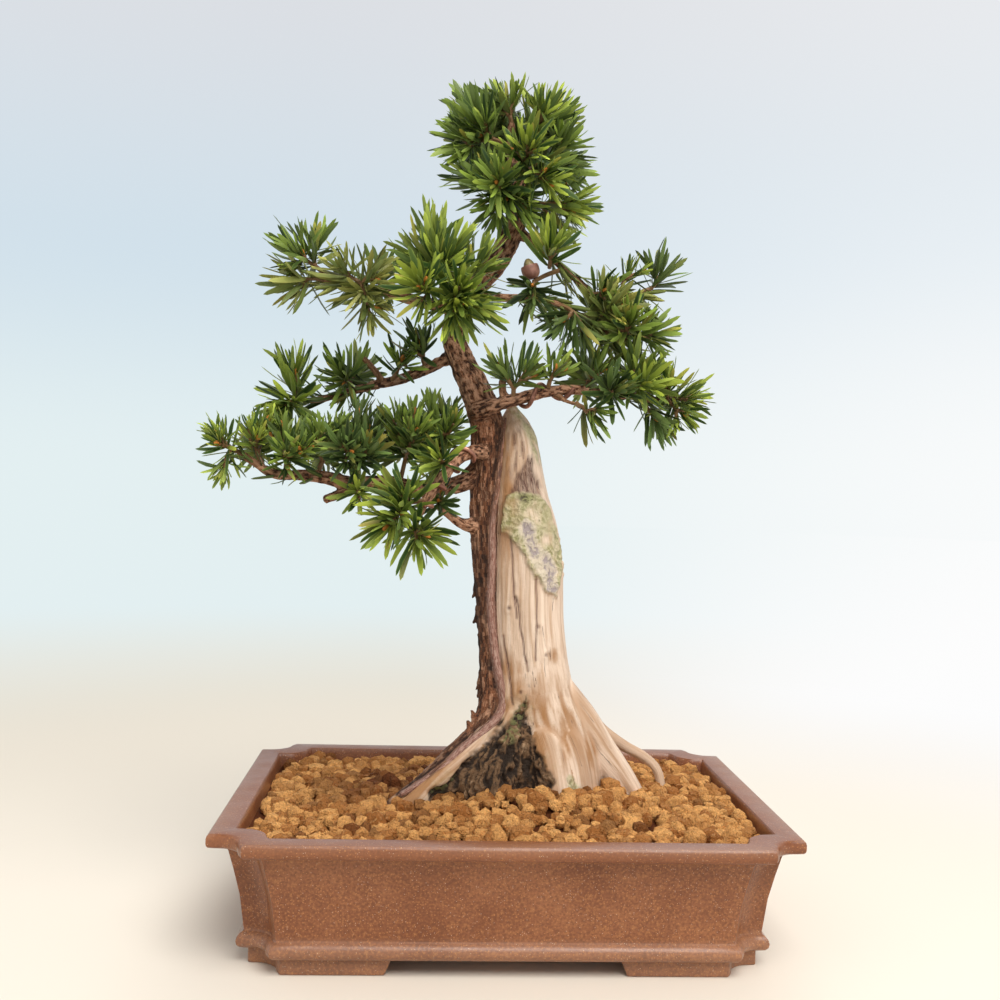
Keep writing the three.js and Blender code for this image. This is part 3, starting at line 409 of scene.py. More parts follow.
class Board:
    """Nodes of one material or node group, added and joined by short calls."""

    def __init__(self, tree: Tree) -> None:
        """Keeps the tree that the nodes go into."""
        self.tree = tree

    def add(self, kind: str, inputs: dict | None = None, **settings: object) -> bpy.types.Node:
        """Adds a node.

        Args:
            kind: the node's type after ShaderNode.
            inputs: values or sockets by input name or number.
            settings: the node's own settings.

        Returns:
            The node.
        """
        node = self.tree.nodes.new(f"ShaderNode{kind}")
        for name, value in settings.items():
            setattr(node, name, value)
        for key, value in (inputs or {}).items():
            if isinstance(value, Socket):
                self.tree.links.new(value, node.inputs[key])
            else:
                node.inputs[key].default_value = value
        return node

    def blend(self, share: object, low: object, high: object) -> Socket:
        """Colour between low and high at a share."""
        low, high = (c if isinstance(c, Socket) else (*c, 1) for c in (low, high))
        return self.add("Mix", {0: share, 6: low, 7: high}, data_type="RGBA").outputs[2]

    def math(self, kind: str, *values: object) -> Socket:
        """Result of one kind of arithmetic on values, kept from 0 to 1 but for differences."""
        clamped = kind != "SUBTRACT"
        return self.add("Math", dict(enumerate(values)), operation=kind, use_clamp=clamped).outputs[0]

    def step(self, value: Socket, low: float, high: float) -> Socket:
        """Soft step of a value from 0 at low to 1 at high."""
        inputs = {"Value": value, "From Min": low, "From Max": high}
        return self.add("MapRange", inputs, interpolation_type="SMOOTHSTEP").outputs[0]

    def noise(self, place: Socket, scale: float, detail: float = 3) -> Socket:
        """Soft noise from 0 to 1."""
        return self.add("TexNoise", {"Vector": place, "Scale": scale, "Detail": detail}).outputs[0]

    def read(self, name: str, kind: str = "Fac") -> Socket:
        """A number or vector kept for each corner."""
        return self.add("Attribute", attribute_name=name).outputs[kind]

    def place(self) -> Socket:
        """The object's own coordinates in metres."""
        return self.add("TexCoord").outputs["Object"]

    def bump(self, height: Socket, depth: float, under: Socket | None = None) -> Socket:
        """Normal bent by a height, its depth in millimetres, over another bump."""
        inputs = {"Height": height, "Strength": 1, "Distance": depth * MM}
        if under:
            inputs["Normal"] = under
        return self.add("Bump", inputs).outputs[0]

    def group(self, tree: Tree, inputs: dict) -> bpy.types.Node:
        """Places a node group with its own values or links."""
        return self.add("Group", inputs, node_tree=tree)

    def drawn(self, grain: Tree, across: float, along: float) -> Socket:
        """Noise drawn out along the grain that the piece keeps, in waves per millimetre."""
        vector = self.read("grain", "Vector")
        return self.group(grain, {"Vector": vector, "Across": across, "Along": along}).outputs[0]

    def flecks(self, tree: Tree, place: Socket, values: Point) -> Socket:
        """Where scattered flecks lie, from how many there are, their size and the share that shows."""
        inputs = {"Vector": place, **dict(zip(("Scale", "Size", "Share"), values))}
        return self.group(tree, inputs).outputs[0]

    def lay(self, base: object, *layers: tuple) -> Socket:
        """Lays colours over a base, one after another.

        Args:
            base: the lowest colour.
            layers: mask, colour, weight and the ends of the mask's soft step, the last two where needed.

        Returns:
            The colour that shows.
        """
        for mask, colour, *rest in layers:
            weight, *ends = rest or (1,)
            share = self.step(mask, *ends) if ends else mask
            share = share if weight == 1 else self.math("MULTIPLY", share, weight)
            base = self.blend(share, base, colour)
        return base

    def link(self, value: Socket, node: bpy.types.Node, name: str) -> None:
        """Leads a value into an input of a node."""
        self.tree.links.new(value, node.inputs[name])

    def range(self, value: Socket, low: float, high: float) -> Socket:
        """A share from 0 to 1 turned into a value between low and high."""
        return self.add("MapRange", {"Value": value, "To Min": low, "To Max": high}).outputs[0]


def new_group(name: str, sockets: dict[str, str], results: dict[str, str]) -> tuple:
    """Empty node group.

    Args:
        name: the group's name.
        sockets: its inputs, name to Float, Color or Vector.
        results: its outputs in the same terms.

    Returns:
        The group, its board, its input node and its output node.
    """
    tree = bpy.data.node_groups.new(name, "ShaderNodeTree")
    for way, wanted in (("INPUT", sockets), ("OUTPUT", results)):
        for label, kind in wanted.items():
            tree.interface.new_socket(name=label, in_out=way, socket_type=f"NodeSocket{kind}")
    board = Board(tree)
    return tree, board, tree.nodes.new("NodeGroupInput"), tree.nodes.new("NodeGroupOutput")


def grain_group() -> Tree:
    """Noise drawn out along the grain, from 0 to 1."""
    sockets = {"Vector": "Vector", "Across": "Float", "Along": "Float"}
    tree, board, given, result = new_group("Drawn-out grain", sockets, {"Grain": "Float"})
    across, along = given.outputs["Across"], given.outputs["Along"]
    scale = board.add("CombineXYZ", {0: across, 1: across, 2: along}).outputs[0]
    place = board.add("VectorMath", {0: given.outputs["Vector"], 1: scale}, operation="MULTIPLY").outputs[0]
    tree.links.new(board.noise(place, 1, 4), result.inputs[0])
    return tree


def fleck_group() -> Tree:
    """Where scattered round flecks lie."""
    sockets = {"Vector": "Vector", "Scale": "Float", "Size": "Float", "Share": "Float"}
    tree, board, given, result = new_group("Scattered flecks", sockets, {"Mask": "Float"})
    cells = board.add("TexVoronoi", {name: given.outputs[name] for name in ("Vector", "Scale")})
    pick = board.add("SeparateColor", {0: cells.outputs["Color"]}).outputs
    near = board.math("LESS_THAN", cells.outputs["Distance"], given.outputs["Size"])
    kept = board.math("LESS_THAN", pick[0], given.outputs["Share"])
    tree.links.new(board.math("MULTIPLY", near, kept), result.inputs["Mask"])
    return tree


@dataclass(frozen=True)
class Finish:
    """What every finish needs: its name and its surface's own values."""

    name: str
    roughness: float = 0.6
    metallic: float = 0.0
    shine: float = 0.5

    def start(self) -> tuple[Material, Board, bpy.types.Node]:
        """New material, its board and its shader."""
        material = bpy.data.materials.new(self.name)
        material.use_nodes = True
        shader = material.node_tree.nodes["Principled BSDF"]
        shader.inputs["Roughness"].default_value = self.roughness
        shader.inputs["Metallic"].default_value = self.metallic
        shader.inputs["Specular IOR Level"].default_value = self.shine
        return material, Board(material.node_tree), shader


@dataclass(frozen=True)
class ClayFinish(Finish):
    """Unglazed red-brown clay, fired to a satin skin, with fine pale and rusty specks."""

    flecks: Tree | None = None
    clay: Point = (0.31, 0.12, 0.052)
    deep: Point = (0.2, 0.066, 0.026)
    umber: Point = (0.09, 0.032, 0.018)
    rust: Point = (0.56, 0.25, 0.085)
    pale: Point = (0.68, 0.52, 0.38)
    cloud_scale: float = 22
    mottle_scale: float = 760
    rusty_flecks: Point = (820.0, 0.27, 0.42)
    pale_flecks: Point = (1050.0, 0.2, 0.16)
    # Heights of the painted shade on the rim and its top, and below which the base bead is paler, partly dust
    # and partly painted bounce light
    rim_shade_from: Point = (0.061, 0.063)
    top_shade_from: Point = (0.0695, 0.0702)
    bead_dust_and_light_below: Point = (0.021, 0.016)
    # How pale the rim's outer lip turns: partly wear, partly painted highlight
    lip_wear_and_highlight: float = 0.12
    satin: Point = (0.27, 0.44)
    skin: Point = (900, 0.12)
    swell: float = 0.6

    def material(self) -> Material:
        """Builds the material from clouds, mottling and flecks, with painted shade on the rim and its top, a
        paler base bead that is partly painted bounce light, and a paler lip that is partly wear and partly
        painted highlight.
        """
        material, board, shader = self.start()
        place = board.place()
        cloud, mottle = board.noise(place, self.cloud_scale), board.noise(place, self.mottle_scale, 4)
        height = board.add("SeparateXYZ", {0: place}).outputs[2]
        body = board.blend(board.step(cloud, 0.3, 0.75), self.deep, self.clay)
        body = board.lay(
            body, (mottle, self.umber, 0.38, 0.5, 0.36), (mottle, self.rust, 0.3, 0.52, 0.68),
            # painted shade on the rim and its top; paler base bead, partly dust and partly painted bounce
            # light
            (height, self.deep, 0.45, *self.rim_shade_from), (height, self.deep, 0.5, *self.top_shade_from),
            (height, self.pale, 0.09, *self.bead_dust_and_light_below),
            (board.flecks(self.flecks, place, self.rusty_flecks), self.rust, 0.5),
            (board.flecks(self.flecks, place, self.pale_flecks), self.pale, 0.75),
            # paler outer lip: partly wear, partly painted highlight
            (board.read("edge"), self.pale, self.lip_wear_and_highlight))
        board.link(body, shader, "Base Color")
        rough = board.step(board.noise(place, 60), 0.2, 0.9)
        board.link(board.range(rough, *self.satin), shader, "Roughness")
        skin = board.bump(board.noise(place, self.skin[0], 2), self.skin[1])
        board.link(board.bump(cloud, self.swell, skin), shader, "Normal")
        return material


@dataclass(frozen=True)
class SoilFinish(Finish):
    """Baked loam crumbs: ochre where dry, rusty and dark where wet, darkest on the bed between them as
    painted shade in the gaps.
    """

    dry: Point = (0.95, 0.49, 0.165)
    rusty: Point = (0.33, 0.105, 0.022)
    # Darkest colour: wet crumbs, and painted shade on the bed in the gaps between crumbs
    moist: Point = (0.11, 0.03, 0.01)
    dust: Point = (0.92, 0.54, 0.23)
    # Painted shade in the crumbs' pits
    pore_shade: Point = (0.07, 0.025, 0.01)
    grit_scale: float = 520
    pore_scale: float = 1500
    grit_depth: float = 3.6
    pore_depth: float = 1.3

    def material(self) -> Material:
        """Builds the material from each crumb's own tone and how wet it is, with painted shade on the bed in
        the gaps and in the crumbs' pits.
        """
        material, board, shader = self.start()
        place, moist = board.place(), board.read("moist")
        grit, pores = board.noise(place, self.grit_scale, 5), board.noise(place, self.pore_scale, 3)
        dusty = board.math("MULTIPLY", board.step(grit, 0.5, 0.72), 0.4)
        dusty = board.math("MULTIPLY", dusty, board.math("SUBTRACT", 1, moist))
        tone = board.blend(board.read("tone"), self.rusty, self.dry)
        tone = board.lay(
            tone, (grit, self.rusty, 0.35, 0.42, 0.62), (moist, self.moist), (dusty, self.dust),
            # painted shade in the pits that the pore bump dents
            (pores, self.pore_shade, 0.6, 0.4, 0.3))
        board.link(tone, shader, "Base Color")
        board.link(board.bump(pores, self.pore_depth, board.bump(grit, self.grit_depth)), shader, "Normal")
        return material


@dataclass(frozen=True)
class DeadwoodFinish(Finish):
    """Bleached bare wood with drawn-out grain, rot, moss and stains."""

    grain: Tree | None = None
    bleached: Point = (0.8, 0.63, 0.49)
    tan: Point = (0.55, 0.365, 0.24)
    shade: Point = (0.1, 0.042, 0.03)
    # The rot's near black hollows and tan crest tops are partly its own colours, partly painted shade and a
    # painted highlight
    rot: Point = (0.028, 0.016, 0.009)
    crumbling: Point = (0.17, 0.093, 0.045)
    ridge_tan_and_highlight: Point = (0.4, 0.26, 0.15)
    moss: Point = (0.27, 0.27, 0.1)
    lichen: Point = (0.54, 0.485, 0.285)
    stain: Point = (0.34, 0.155, 0.05)
    pale: Point = (0.74, 0.62, 0.5)
    worn: Point = (0.38, 0.31, 0.3)
    streaks: Point = (0.45, 0.012)
    fibres: Point = (2.4, 0.05)
    splits: Point = (0.13, 0.004)
    coals: Point = (0.4, 0.08)
    hair: Point = (0.005, 0.001)

    def material(self) -> Material:
        """Builds the material from drawn-out grain and what each corner keeps of rot, moss, stains and
        painted shade.
        """
        material, board, shader = self.start()
        place, moss = board.place(), board.read("moss")
        cloud, grit = board.noise(place, 45, 4), board.noise(place, 420, 5)
        streak, fibre = (
            board.add("Mix", {0: board.read("seam"), 2: board.drawn(self.grain, *waves), 3: 0.5}).outputs[0]
            for waves in (self.streaks, self.fibres))
        split = board.math("ABSOLUTE", board.math("SUBTRACT", board.drawn(self.grain, *self.splits), 0.5))
        split = board.math("MULTIPLY", board.step(split, *self.hair), board.step(streak, 0.52, 0.6))
        wood = board.blend(board.step(streak, 0.26, 0.6), self.tan, self.bleached)
        groove = board.range(board.step(fibre, 0.62, 0.4), 0.5, 1)
        groove = board.math("MULTIPLY", board.read("groove"), groove)
        green = board.blend(board.step(grit, 0.42, 0.6), self.moss, self.lichen)
        green = board.lay(green, (cloud, self.lichen, 0.6, 0.4, 0.6))
        grey = board.range(board.step(grit, 0.6, 0.44), 0.3, 0.95)
        grey = board.math("MULTIPLY", board.step(board.read("worn"), 0.52, 0.95), grey)
        wood = board.lay(
            wood, (cloud, self.tan, 0.35, 0.5, 0.68), (fibre, self.tan, 0.38, 0.5, 0.7),
            (board.read("warm"), self.stain, 0.9), (split, self.shade, 0.8),
            (groove, self.shade), (moss, green, 0.85),
            (board.read("worn"), self.pale, 0.65, 0.15, 0.45), (grey, self.worn),
            (board.read("dark"), self.rotten(board, grit)))
        board.link(wood, shader, "Base Color")
        rough = board.bump(board.math("SUBTRACT", 1, split), 0.5, board.bump(fibre, 0.6))
        coarse = board.math("MULTIPLY", grit, board.math("MAXIMUM", board.read("dark"), moss))
        board.link(board.bump(coarse, 2.2, board.bump(grit, 0.25, rough)), shader, "Normal")
        return material

    def rotten(self, board: Board, grit: Socket) -> Socket:
        """Colour of the rotten wood: near black in its hollows, partly as painted shade, brown on its crests
        and tan on their tops, partly as a painted highlight, green in places.

        Args:
            board: the material's board.
            grit: the material's fine noise.

        Returns:
            The colour.
        """
        coal = board.math("SUBTRACT", board.drawn(self.grain, *self.coals), 0.5)
        crest = board.math("ADD", board.read("crest"), board.math("MULTIPLY", coal, 0.9))
        mossy = board.math("MULTIPLY", board.read("moss"), board.step(grit, 0.44, 0.54))
        # Painted shade in the hollows and a painted highlight on the crests, over the rot's own colours
        rotten = board.blend(board.step(crest, 0.12, 0.5), self.rot, self.crumbling)
        return board.lay(
            rotten, (crest, self.ridge_tan_and_highlight, 0.75, 0.55, 0.95), (grit, self.rot, 0.4, 0.5, 0.62),
            (mossy, self.moss))


@dataclass(frozen=True)
class BarkFinish(Finish):
    """Flaky red-brown yew bark, the callus beside the deadwood smooth and plum-brown."""

    grain: Tree | None = None
    bark: Point = (0.14, 0.052, 0.022)
    red: Point = (0.23, 0.085, 0.037)
    flake: Point = (0.5, 0.27, 0.16)
    dark: Point = (0.022, 0.009, 0.005)
    callus: Point = (0.2, 0.078, 0.05)
    sheen: Point = (0.52, 0.34, 0.27)
    cambium: Point = (0.8, 0.54, 0.28)
    dried: Point = (0.6, 0.38, 0.2)
    young: Point = (0.26, 0.13, 0.06)
    strips: Point = (0.5, 0.13)
    scales: Point = (0.5, 0.26)
    fine: Point = (1.7, 0.8)
    clouds: Point = (0.11, 0.045)
    veins: Point = (1.6, 0.4)
    callus_gloss: Point = (0.75, 0.38)
    depth: float = 2.6

    def material(self) -> Material:
        """Builds the material from drawn-out plates and what each corner keeps of callus and bare wood."""
        material, board, shader = self.start()
        strip, scale, fine, cloud, vein = (
            board.drawn(self.grain, *waves)
            for waves in (self.strips, self.scales, self.fine, self.clouds, self.veins))
        plate = board.add("Mix", {0: board.read("stringy"), 2: scale, 3: strip}).outputs[0]
        upper = board.math("SUBTRACT", 1, board.read("stringy"))
        upper = board.math("MULTIPLY", upper, board.step(scale, 0.42, 0.6))
        bark = board.blend(board.step(cloud, 0.42, 0.62), self.bark, self.red)
        bark = board.lay(
            bark, (plate, self.flake, 0.8, 0.51, 0.63), (plate, self.dark, 0.9, 0.47, 0.37),
            (fine, self.dark, 0.7, 0.5, 0.64), (fine, self.flake, 0.6, 0.42, 0.3),
            (upper, self.flake, 0.88), (board.read("young"), self.young),
            # dark: painted shade in furrows, on the trunk's left side and beside the callus, also darker
            # toward the foot and in flecks
            (board.read("dark"), self.dark),
            (board.read("callus"), board.blend(board.step(vein, 0.3, 0.8), self.callus, self.sheen)),
            (board.read("cambium"), board.blend(board.step(plate, 0.35, 0.6), self.cambium, self.dried)))
        board.link(bark, shader, "Base Color")
        board.link(board.range(board.read("callus"), *self.callus_gloss), shader, "Roughness")
        height = board.math("ADD", board.math("MULTIPLY", plate, 0.75), board.math("MULTIPLY", fine, 0.25))
        height = board.math("MULTIPLY", height, board.math("SUBTRACT", 1, board.read("cambium")))
        board.link(board.bump(height, self.depth), shader, "Normal")
        return material


@dataclass(frozen=True)
class NeedleFinish(Finish):
    """Yew foliage of one tone: leathery blades, paler at the rim and below, on brown-green twigs."""

    tone: Tone = Tone.MID
    bud: Point = (0.55, 0.2, 0.04)
    bark: Point = (0.2, 0.11, 0.05)
    below: Point = (0.2, 0.26, 0.07)
    yellow: Point = (0.62, 0.5, 0.1)
    # Blades darken toward the base: partly older growth, partly painted shade near the stem
    age_and_base_shade: Point = (0.3, 1.05)
    blotch_scale: float = 400
    skin: Point = (500, 0.15)

    def material(self) -> Material:
        """Builds the material from what each blade keeps of its age, its rim and its own tone, darker toward
        its base partly as painted shade near the stem.
        """
        material, board, shader = self.start()
        old, young = self.tone.value
        place, reach = board.place(), board.read("reach")
        # darker toward the base, partly painted shade near the stem
        age = board.math("MULTIPLY", board.read("young"), board.range(reach, *self.age_and_base_shade))
        yellow = board.math("MULTIPLY", board.read("yellow"), reach)
        leaf = board.lay(
            old, (age, young), (board.read("rim"), young, 0.3, 0.7, 1.0),
            (board.read("under"), self.below, 0.45),
            (yellow, self.yellow), (board.noise(place, self.blotch_scale), old, 0.2, 0.6, 0.8),
            (board.read("twig"), self.bark), (board.read("bud"), self.bud))
        board.link(leaf, shader, "Base Color")
        board.link(board.bump(board.noise(place, self.skin[0]), self.skin[1]), shader, "Normal")
        return material


@dataclass(frozen=True)
class MetalFinish(Finish):
    """Copper-coated training wire, dulled by weather."""

    bright: Point = (0.5, 0.25, 0.18)
    dull: Point = (0.2, 0.09, 0.06)

    def material(self) -> Material:
        """Builds the material with its dull patches."""
        material, board, shader = self.start()
        patch = board.step(board.noise(board.place(), 150), 0.35, 0.7)
        board.link(board.blend(patch, self.dull, self.bright), shader, "Base Color")
        board.link(board.range(patch, 0.6, 0.38), shader, "Roughness")
        return material


@dataclass(frozen=True)
class FloorFinish(Finish):
    """Pale paper that runs out into the air of the room."""

    paper: Point = (0.79, 0.725, 0.63)
    lit: Point = (0.82, 0.745, 0.62)
    air: Point = AIR
    white: Point = (0.98, 0.98, 0.98)
    near: Point = (0.2, 0.9)
    far: Point = (0.25, 1.8)
    aside: Point = (-0.1, 0.6)

    def material(self) -> Material:
        """Builds the material: paper near the pot, beyond it a painted glow that fades with the distance from
        the pot and turns white to the right.
        """
        material, board, shader = self.start()
        place = board.place()
        away = board.add("VectorMath", {0: place}, operation="LENGTH").outputs["Value"]
        turned = board.add("VectorMath", {0: place}, operation="NORMALIZE").outputs["Vector"]
        aside = board.step(board.add("SeparateXYZ", {0: turned}).outputs[0], *self.aside)
        fade = board.step(away, *self.near)
        board.link(board.blend(fade, self.paper, (0, 0, 0)), shader, "Base Color")
        aside = board.math("MULTIPLY", aside, board.step(away, 0.1, 0.5))
        glow = board.lay(self.lit, (away, self.air, 1, *self.far), (aside, self.white))
        board.link(board.blend(fade, (0, 0, 0), glow), shader, "Emission Color")
        shader.inputs["Emission Strength"].default_value = 1
        return material


@dataclass(frozen=True)
class SkinFinish(Finish):
    """Plain skin in two tones that run into each other, with a fine relief."""

    low: Point = (0.1, 0.1, 0.1)
    high: Point = (0.2, 0.2, 0.2)
    scale: float = 200
    depth: float = 0.1

    def material(self) -> Material:
        """Builds the material."""
        material, board, shader = self.start()
        cloud = board.noise(board.place(), self.scale)
        board.link(board.blend(board.step(cloud, 0.35, 0.65), self.low, self.high), shader, "Base Color")
        board.link(board.bump(cloud, self.depth), shader, "Normal")
        return material


@dataclass(frozen=True)
class Walk:
    """Places along a limb, each with its direction, two sides, radius and way from the foot."""

    places: Array
    ways: Array
    sides: Array
    others: Array
    radii: Array
    reach: Array


def first_side(way: Array) -> Array:
    """Direction to start the sides of a limb from, well away from its own."""
    return np.array([0, 0, 1.0]) if abs(way[1]) > 0.9 else np.array([0, 1.0, 0])


def carried_sides(side: Array, ways: Array) -> Array:
    """Side square to each direction along a limb, carried on from the one before without a twist."""
    sides = []
    for way in ways:
        side = unit(side - way * (side @ way))
        sides.append(side)
    return np.array(sides)


def walk(path: Points, step: float = 1.5) -> Walk:
    """Follows a limb from its foot to its tip.

    Args:
        path: its points x, y, z and radius.
        step: rough distance between two places.

    Returns:
        The places.
    """
    points = np.array(path, float)
    length = np.linalg.norm(np.diff(points[:, :3], axis=0), axis=1).sum()
    shares = np.linspace(0, 1, max(6, int(length / step)))
    places = spline(points[:, :3], shares)
    ways = unit(np.gradient(places, axis=0))
    radii = np.interp(shares * (len(points) - 1), range(len(points)), points[:, 3])
    sides = carried_sides(first_side(ways[0]), ways)
    reach = np.concatenate([[0], np.cumsum(np.linalg.norm(np.diff(places, axis=0), axis=1))])
    return Walk(places, ways, sides, np.cross(ways, sides), radii, reach)


def band_faces(start: int, count: int) -> list:
    """Faces between a ring of corners, which begins at a number, and the ring after it."""
    return [
        (start + k, start + (k + 1) % count, start + (k + 1) % count + count, start + k + count)
        for k in range(count)]


def skin_faces(rings: int, count: int) -> list:
    """Faces of a closed skin over rings of equally many corners, with a pole corner at each end.

    Args:
        rings: how many rings there are.
        count: how many corners a ring has.

    Returns:
        The faces; the two poles are the last two corners.
    """
    faces = []
    foot, tip = rings * count, rings * count + 1
    for k in range(count):
        nxt = (k + 1) % count
        faces.append((foot, nxt, k))
        faces.append(((rings - 1) * count + k, (rings - 1) * count + nxt, tip))
        for i in range(rings - 1):
            a, b = i * count + k, i * count + nxt
            faces.append((a, b, b + count, a + count))
    return faces


def tube(line: Walk, count: int, bulge: float = 0.5) -> Shell:
    """Closed round skin along a limb.

    Args:
        line: the limb's places.
        count: corners round it.
        bulge: how far its ends stand out, as a share of the radius.

    Returns:
        Corners and faces.
    """
    turns = np.linspace(0, 2 * math.pi, count, endpoint=False)[None, :, None]
    out = np.cos(turns) * line.sides[:, None] + np.sin(turns) * line.others[:, None]
    rings = line.places[:, None] + out * line.radii[:, None, None]
    caps, poles = [], []
    for i, sign in ((0, -1), (-1, 1)):
        past = sign * line.ways[i] * line.radii[i] * bulge
        caps.append(line.places[i] + past * 0.7 + out[i] * line.radii[i] * 0.72)
        poles.append(line.places[i] + past)
    rings = np.concatenate([caps[0][None], rings, caps[1][None]])
    return np.vstack([rings.reshape(-1, 3), poles]), skin_faces(len(rings), count)


def joined(parts: list[Shell]) -> Shell:
    """Puts several closed skins into one list of corners and faces."""
    points, faces, start = [], [], 0
    for corner_list, face_list in parts:
        points.append(corner_list)
        faces += [tuple(n + start for n in face) for face in face_list]
        start += len(corner_list)
    return np.vstack(points), faces


def away_from_line(points: Array, line: Points) -> Array:
    """Distance of each place from a line through points, both flat or both in space."""
    best = np.full(len(points), FAR)
    for start, end in zip(np.array(line[:-1], float), np.array(line[1:], float)):
        along = end - start
        share = np.clip((points - start) @ along / (along @ along), 0, 1)[:, None]
        best = np.minimum(best, np.linalg.norm(points - start - share * along, axis=1))
    return best


def depth_inside(points: Array, outline: Points) -> Array:
    """How deep each flat place lies inside a closed outline, less than nothing outside it."""
    ring = np.array([*outline, outline[0]], float)
    odd = np.zeros(len(points), bool)
    for (x0, z0), (x1, z1) in zip(ring[:-1], ring[1:]):
        crosses = (z0 > points[:, 1]) != (z1 > points[:, 1])
        odd ^= crosses & (points[:, 0] < x0 + (points[:, 1] - z0) * (x1 - x0) / (z1 - z0 + 1e-9))
    away = away_from_line(points, ring)
    return np.where(odd, away, -away)


def round_patch(points: Array, centre: Point, size: Point, soft: float = 0.25) -> Array:
    """Share from 1 inside an ellipsoid or ellipse to 0 outside it."""
    reach = np.linalg.norm((points - np.array(centre)) / np.array(size), axis=1)
    return smooth(1 + soft, 1 - soft, reach)


@dataclass
class Tray:
    """Footed clay tray with notched corners, a beaded base and a flat rim."""

    middle_x: float = 10
    half_length: float = 150
    half_width: float = 113.2
    notch: Point = (20, 17.8)
    notch_fade: float = 200
    notch_line: Points = ((0, 1, 0), (0.45, 0.93, 0), (0.8, 0.6, 0), (0.9, 0.22, 0), (1, 0, 0))
    profile: Points = (
        (20, 8), (17.8, 8.3), (15.6, 9.2), (14.2, 10.8), (13.8, 12.7), (14.3, 14.6), (15.6, 16.3), (17, 17.1),
        (17.4, 18), (17.1, 20), (15.2, 36), (12.4, 49), (9.8, 59.6), (9, 61.5), (7.6, 62.4), (2.4, 62.8),
        (1, 63.3), (0.2, 64.3), (0, 65.6), (0, 67.8), (0.4, 69.2), (1.3, 70.1), (2.6, 70.3), (11.6, 70.3),
        (12.7, 70), (13.3, 69.2), (13.8, 67), (16.4, 52), (22.2, 23), (23.8, 19.4), (27, 18),
    )
    foot_inset: float = 19.4
    foot_inner: float = 38
    foot_end: Point = (57, 41)
    foot_slope: float = 4
    foot_top: float = 9.5
    foot_bevel: float = 1.6
    drain_spread: float = 72
    drain_radius: float = 11
    drain_middle: float = 12
    drain_depth: float = 30
    lip: Points = ((0.4, 69.4), (1.6, 70.3))
    lip_fade: Point = (3.2, 0.6)
    steps: int = 26
    soft_angle: float = 32

    def corner(self, inset: float) -> Array:
        """Outline of one notched corner in plan, at a distance in from the rim."""
        x, y = self.half_length - inset, self.half_width - inset
        share = 1 - inset / self.notch_fade
        line = spline(np.array(self.notch_line, float), np.linspace(0, 1, 17))
        return (x, y) - np.array(self.notch) * share * line[:, :2]

    def plan(self, inset: float) -> Array:
        """Whole outline in plan, its straight runs divided evenly, round the tray's middle."""
        corner = self.corner(inset)
        front = np.vstack([corner, (corner * (-1, 1))[::-1]])
        ring = np.vstack([front, -front])
        points = []
        for i, start in enumerate(ring):
            end = ring[(i + 1) % len(ring)]
            straight = (i + 1) % len(corner) == 0
            shares = np.linspace(0, 1, self.steps, endpoint=False) if straight else [0]
            points += [start + (end - start) * share for share in shares]
        return np.array(points)

    def ring(self, inset: float, height: float) -> Array:
        """Outline at a height, in its place."""
        plan = self.plan(inset)
        return np.column_stack([plan[:, 0] + self.middle_x, plan[:, 1], np.full(len(plan), float(height))])

    def foot(self, sign_x: int, sign_y: int) -> Piece:
        """One foot round a corner, its ends sloped and its edges rounded."""
        rings = []
        for height, end in ((0, -self.foot_slope), (self.foot_top, 0)):
            outer = self.corner(self.foot_inset)
            inner = (self.half_length - self.foot_inner, self.half_width - self.foot_inner)
            ends = (self.foot_end[0] - end, self.foot_end[1] - end)
            plan = [(outer[0][0], ends[1]), *outer, (ends[0], outer[-1][1]), (ends[0], inner[1]), inner,
                    (inner[0], ends[1])]
            ring = [(self.middle_x + sign_x * x, sign_y * y, height) for x, y in plan]
            rings.append(ring if sign_x * sign_y > 0 else ring[::-1])
        count = len(rings[0])
        faces = [tuple(range(count))[::-1], tuple(range(count, 2 * count))]
        faces += band_faces(0, count)
        foot = new_piece("foot", np.vstack(rings), faces)
        modify(foot, "BEVEL", width=self.foot_bevel * MM, segments=3, limit_method="ANGLE", angle_limit=0.8)
        return foot

    def build(self, clay: Material, screen: Material) -> None:
        """Builds and dresses the tray and its drain screens.

        Args:
            clay: the tray's finish.
            screen: the drain screens' finish.
        """
        rings = [self.ring(inset, height) for inset, height in self.profile]
        count = len(rings[0])
        faces = [tuple(range(count))[::-1], tuple(range((len(rings) - 1) * count, len(rings) * count))]
        for start in range(0, (len(rings) - 1) * count, count):
            faces += band_faces(start, count)
        tray = new_piece("clay_tray", np.vstack(rings), faces)
        for sign_x, sign_y in ((1, 1), (-1, 1), (-1, -1), (1, -1)):
            combine(tray, self.foot(sign_x, sign_y), "UNION")
        for sign in (-1, 1):
            centre = ((self.middle_x + sign * self.drain_spread) * MM, 0, self.drain_middle * MM)
            bpy.ops.object.select_all(action="DESELECT")
            bpy.ops.mesh.primitive_cylinder_add(
                vertices=40, radius=self.drain_radius * MM, depth=self.drain_depth * MM, location=centre)
            combine(tray, bpy.context.object, "DIFFERENCE")
        activate(tray)
        bpy.ops.object.shade_smooth_by_angle(angle=math.radians(self.soft_angle))
        points = corners(tray)
        # Paler outer lip of the rim, partly wear and partly painted highlight, kept as edge for the clay
        # finish
        lip = smooth(*self.lip_fade, away_from_line(self.unrolled(points), self.lip))
        note(tray, edge=lip * (0.5 + 0.5 * relief(points, 0.02)))
        hand_over(tray, clay, "clay", "pot")
        for side in ("left", "right"):
            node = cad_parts[f"drain_screen_{side}"]
            node.data.materials.clear()
            node.data.materials.append(screen)

    def unrolled(self, points: Array) -> Array:
        """How far in from the rim each place lies, and its height."""
        inset = np.minimum(
            self.half_length - np.abs(points[:, 0] - self.middle_x), self.half_width - np.abs(points[:, 1]))
        return np.column_stack([inset, points[:, 2]])


def combine(piece: Piece, other: Piece, operation: str) -> None:
    """Joins another object to a piece or cuts it out of it, and removes the other."""
    modify(piece, "BOOLEAN", operation=operation, solver="MANIFOLD", object=other)
    bpy.data.objects.remove(other)


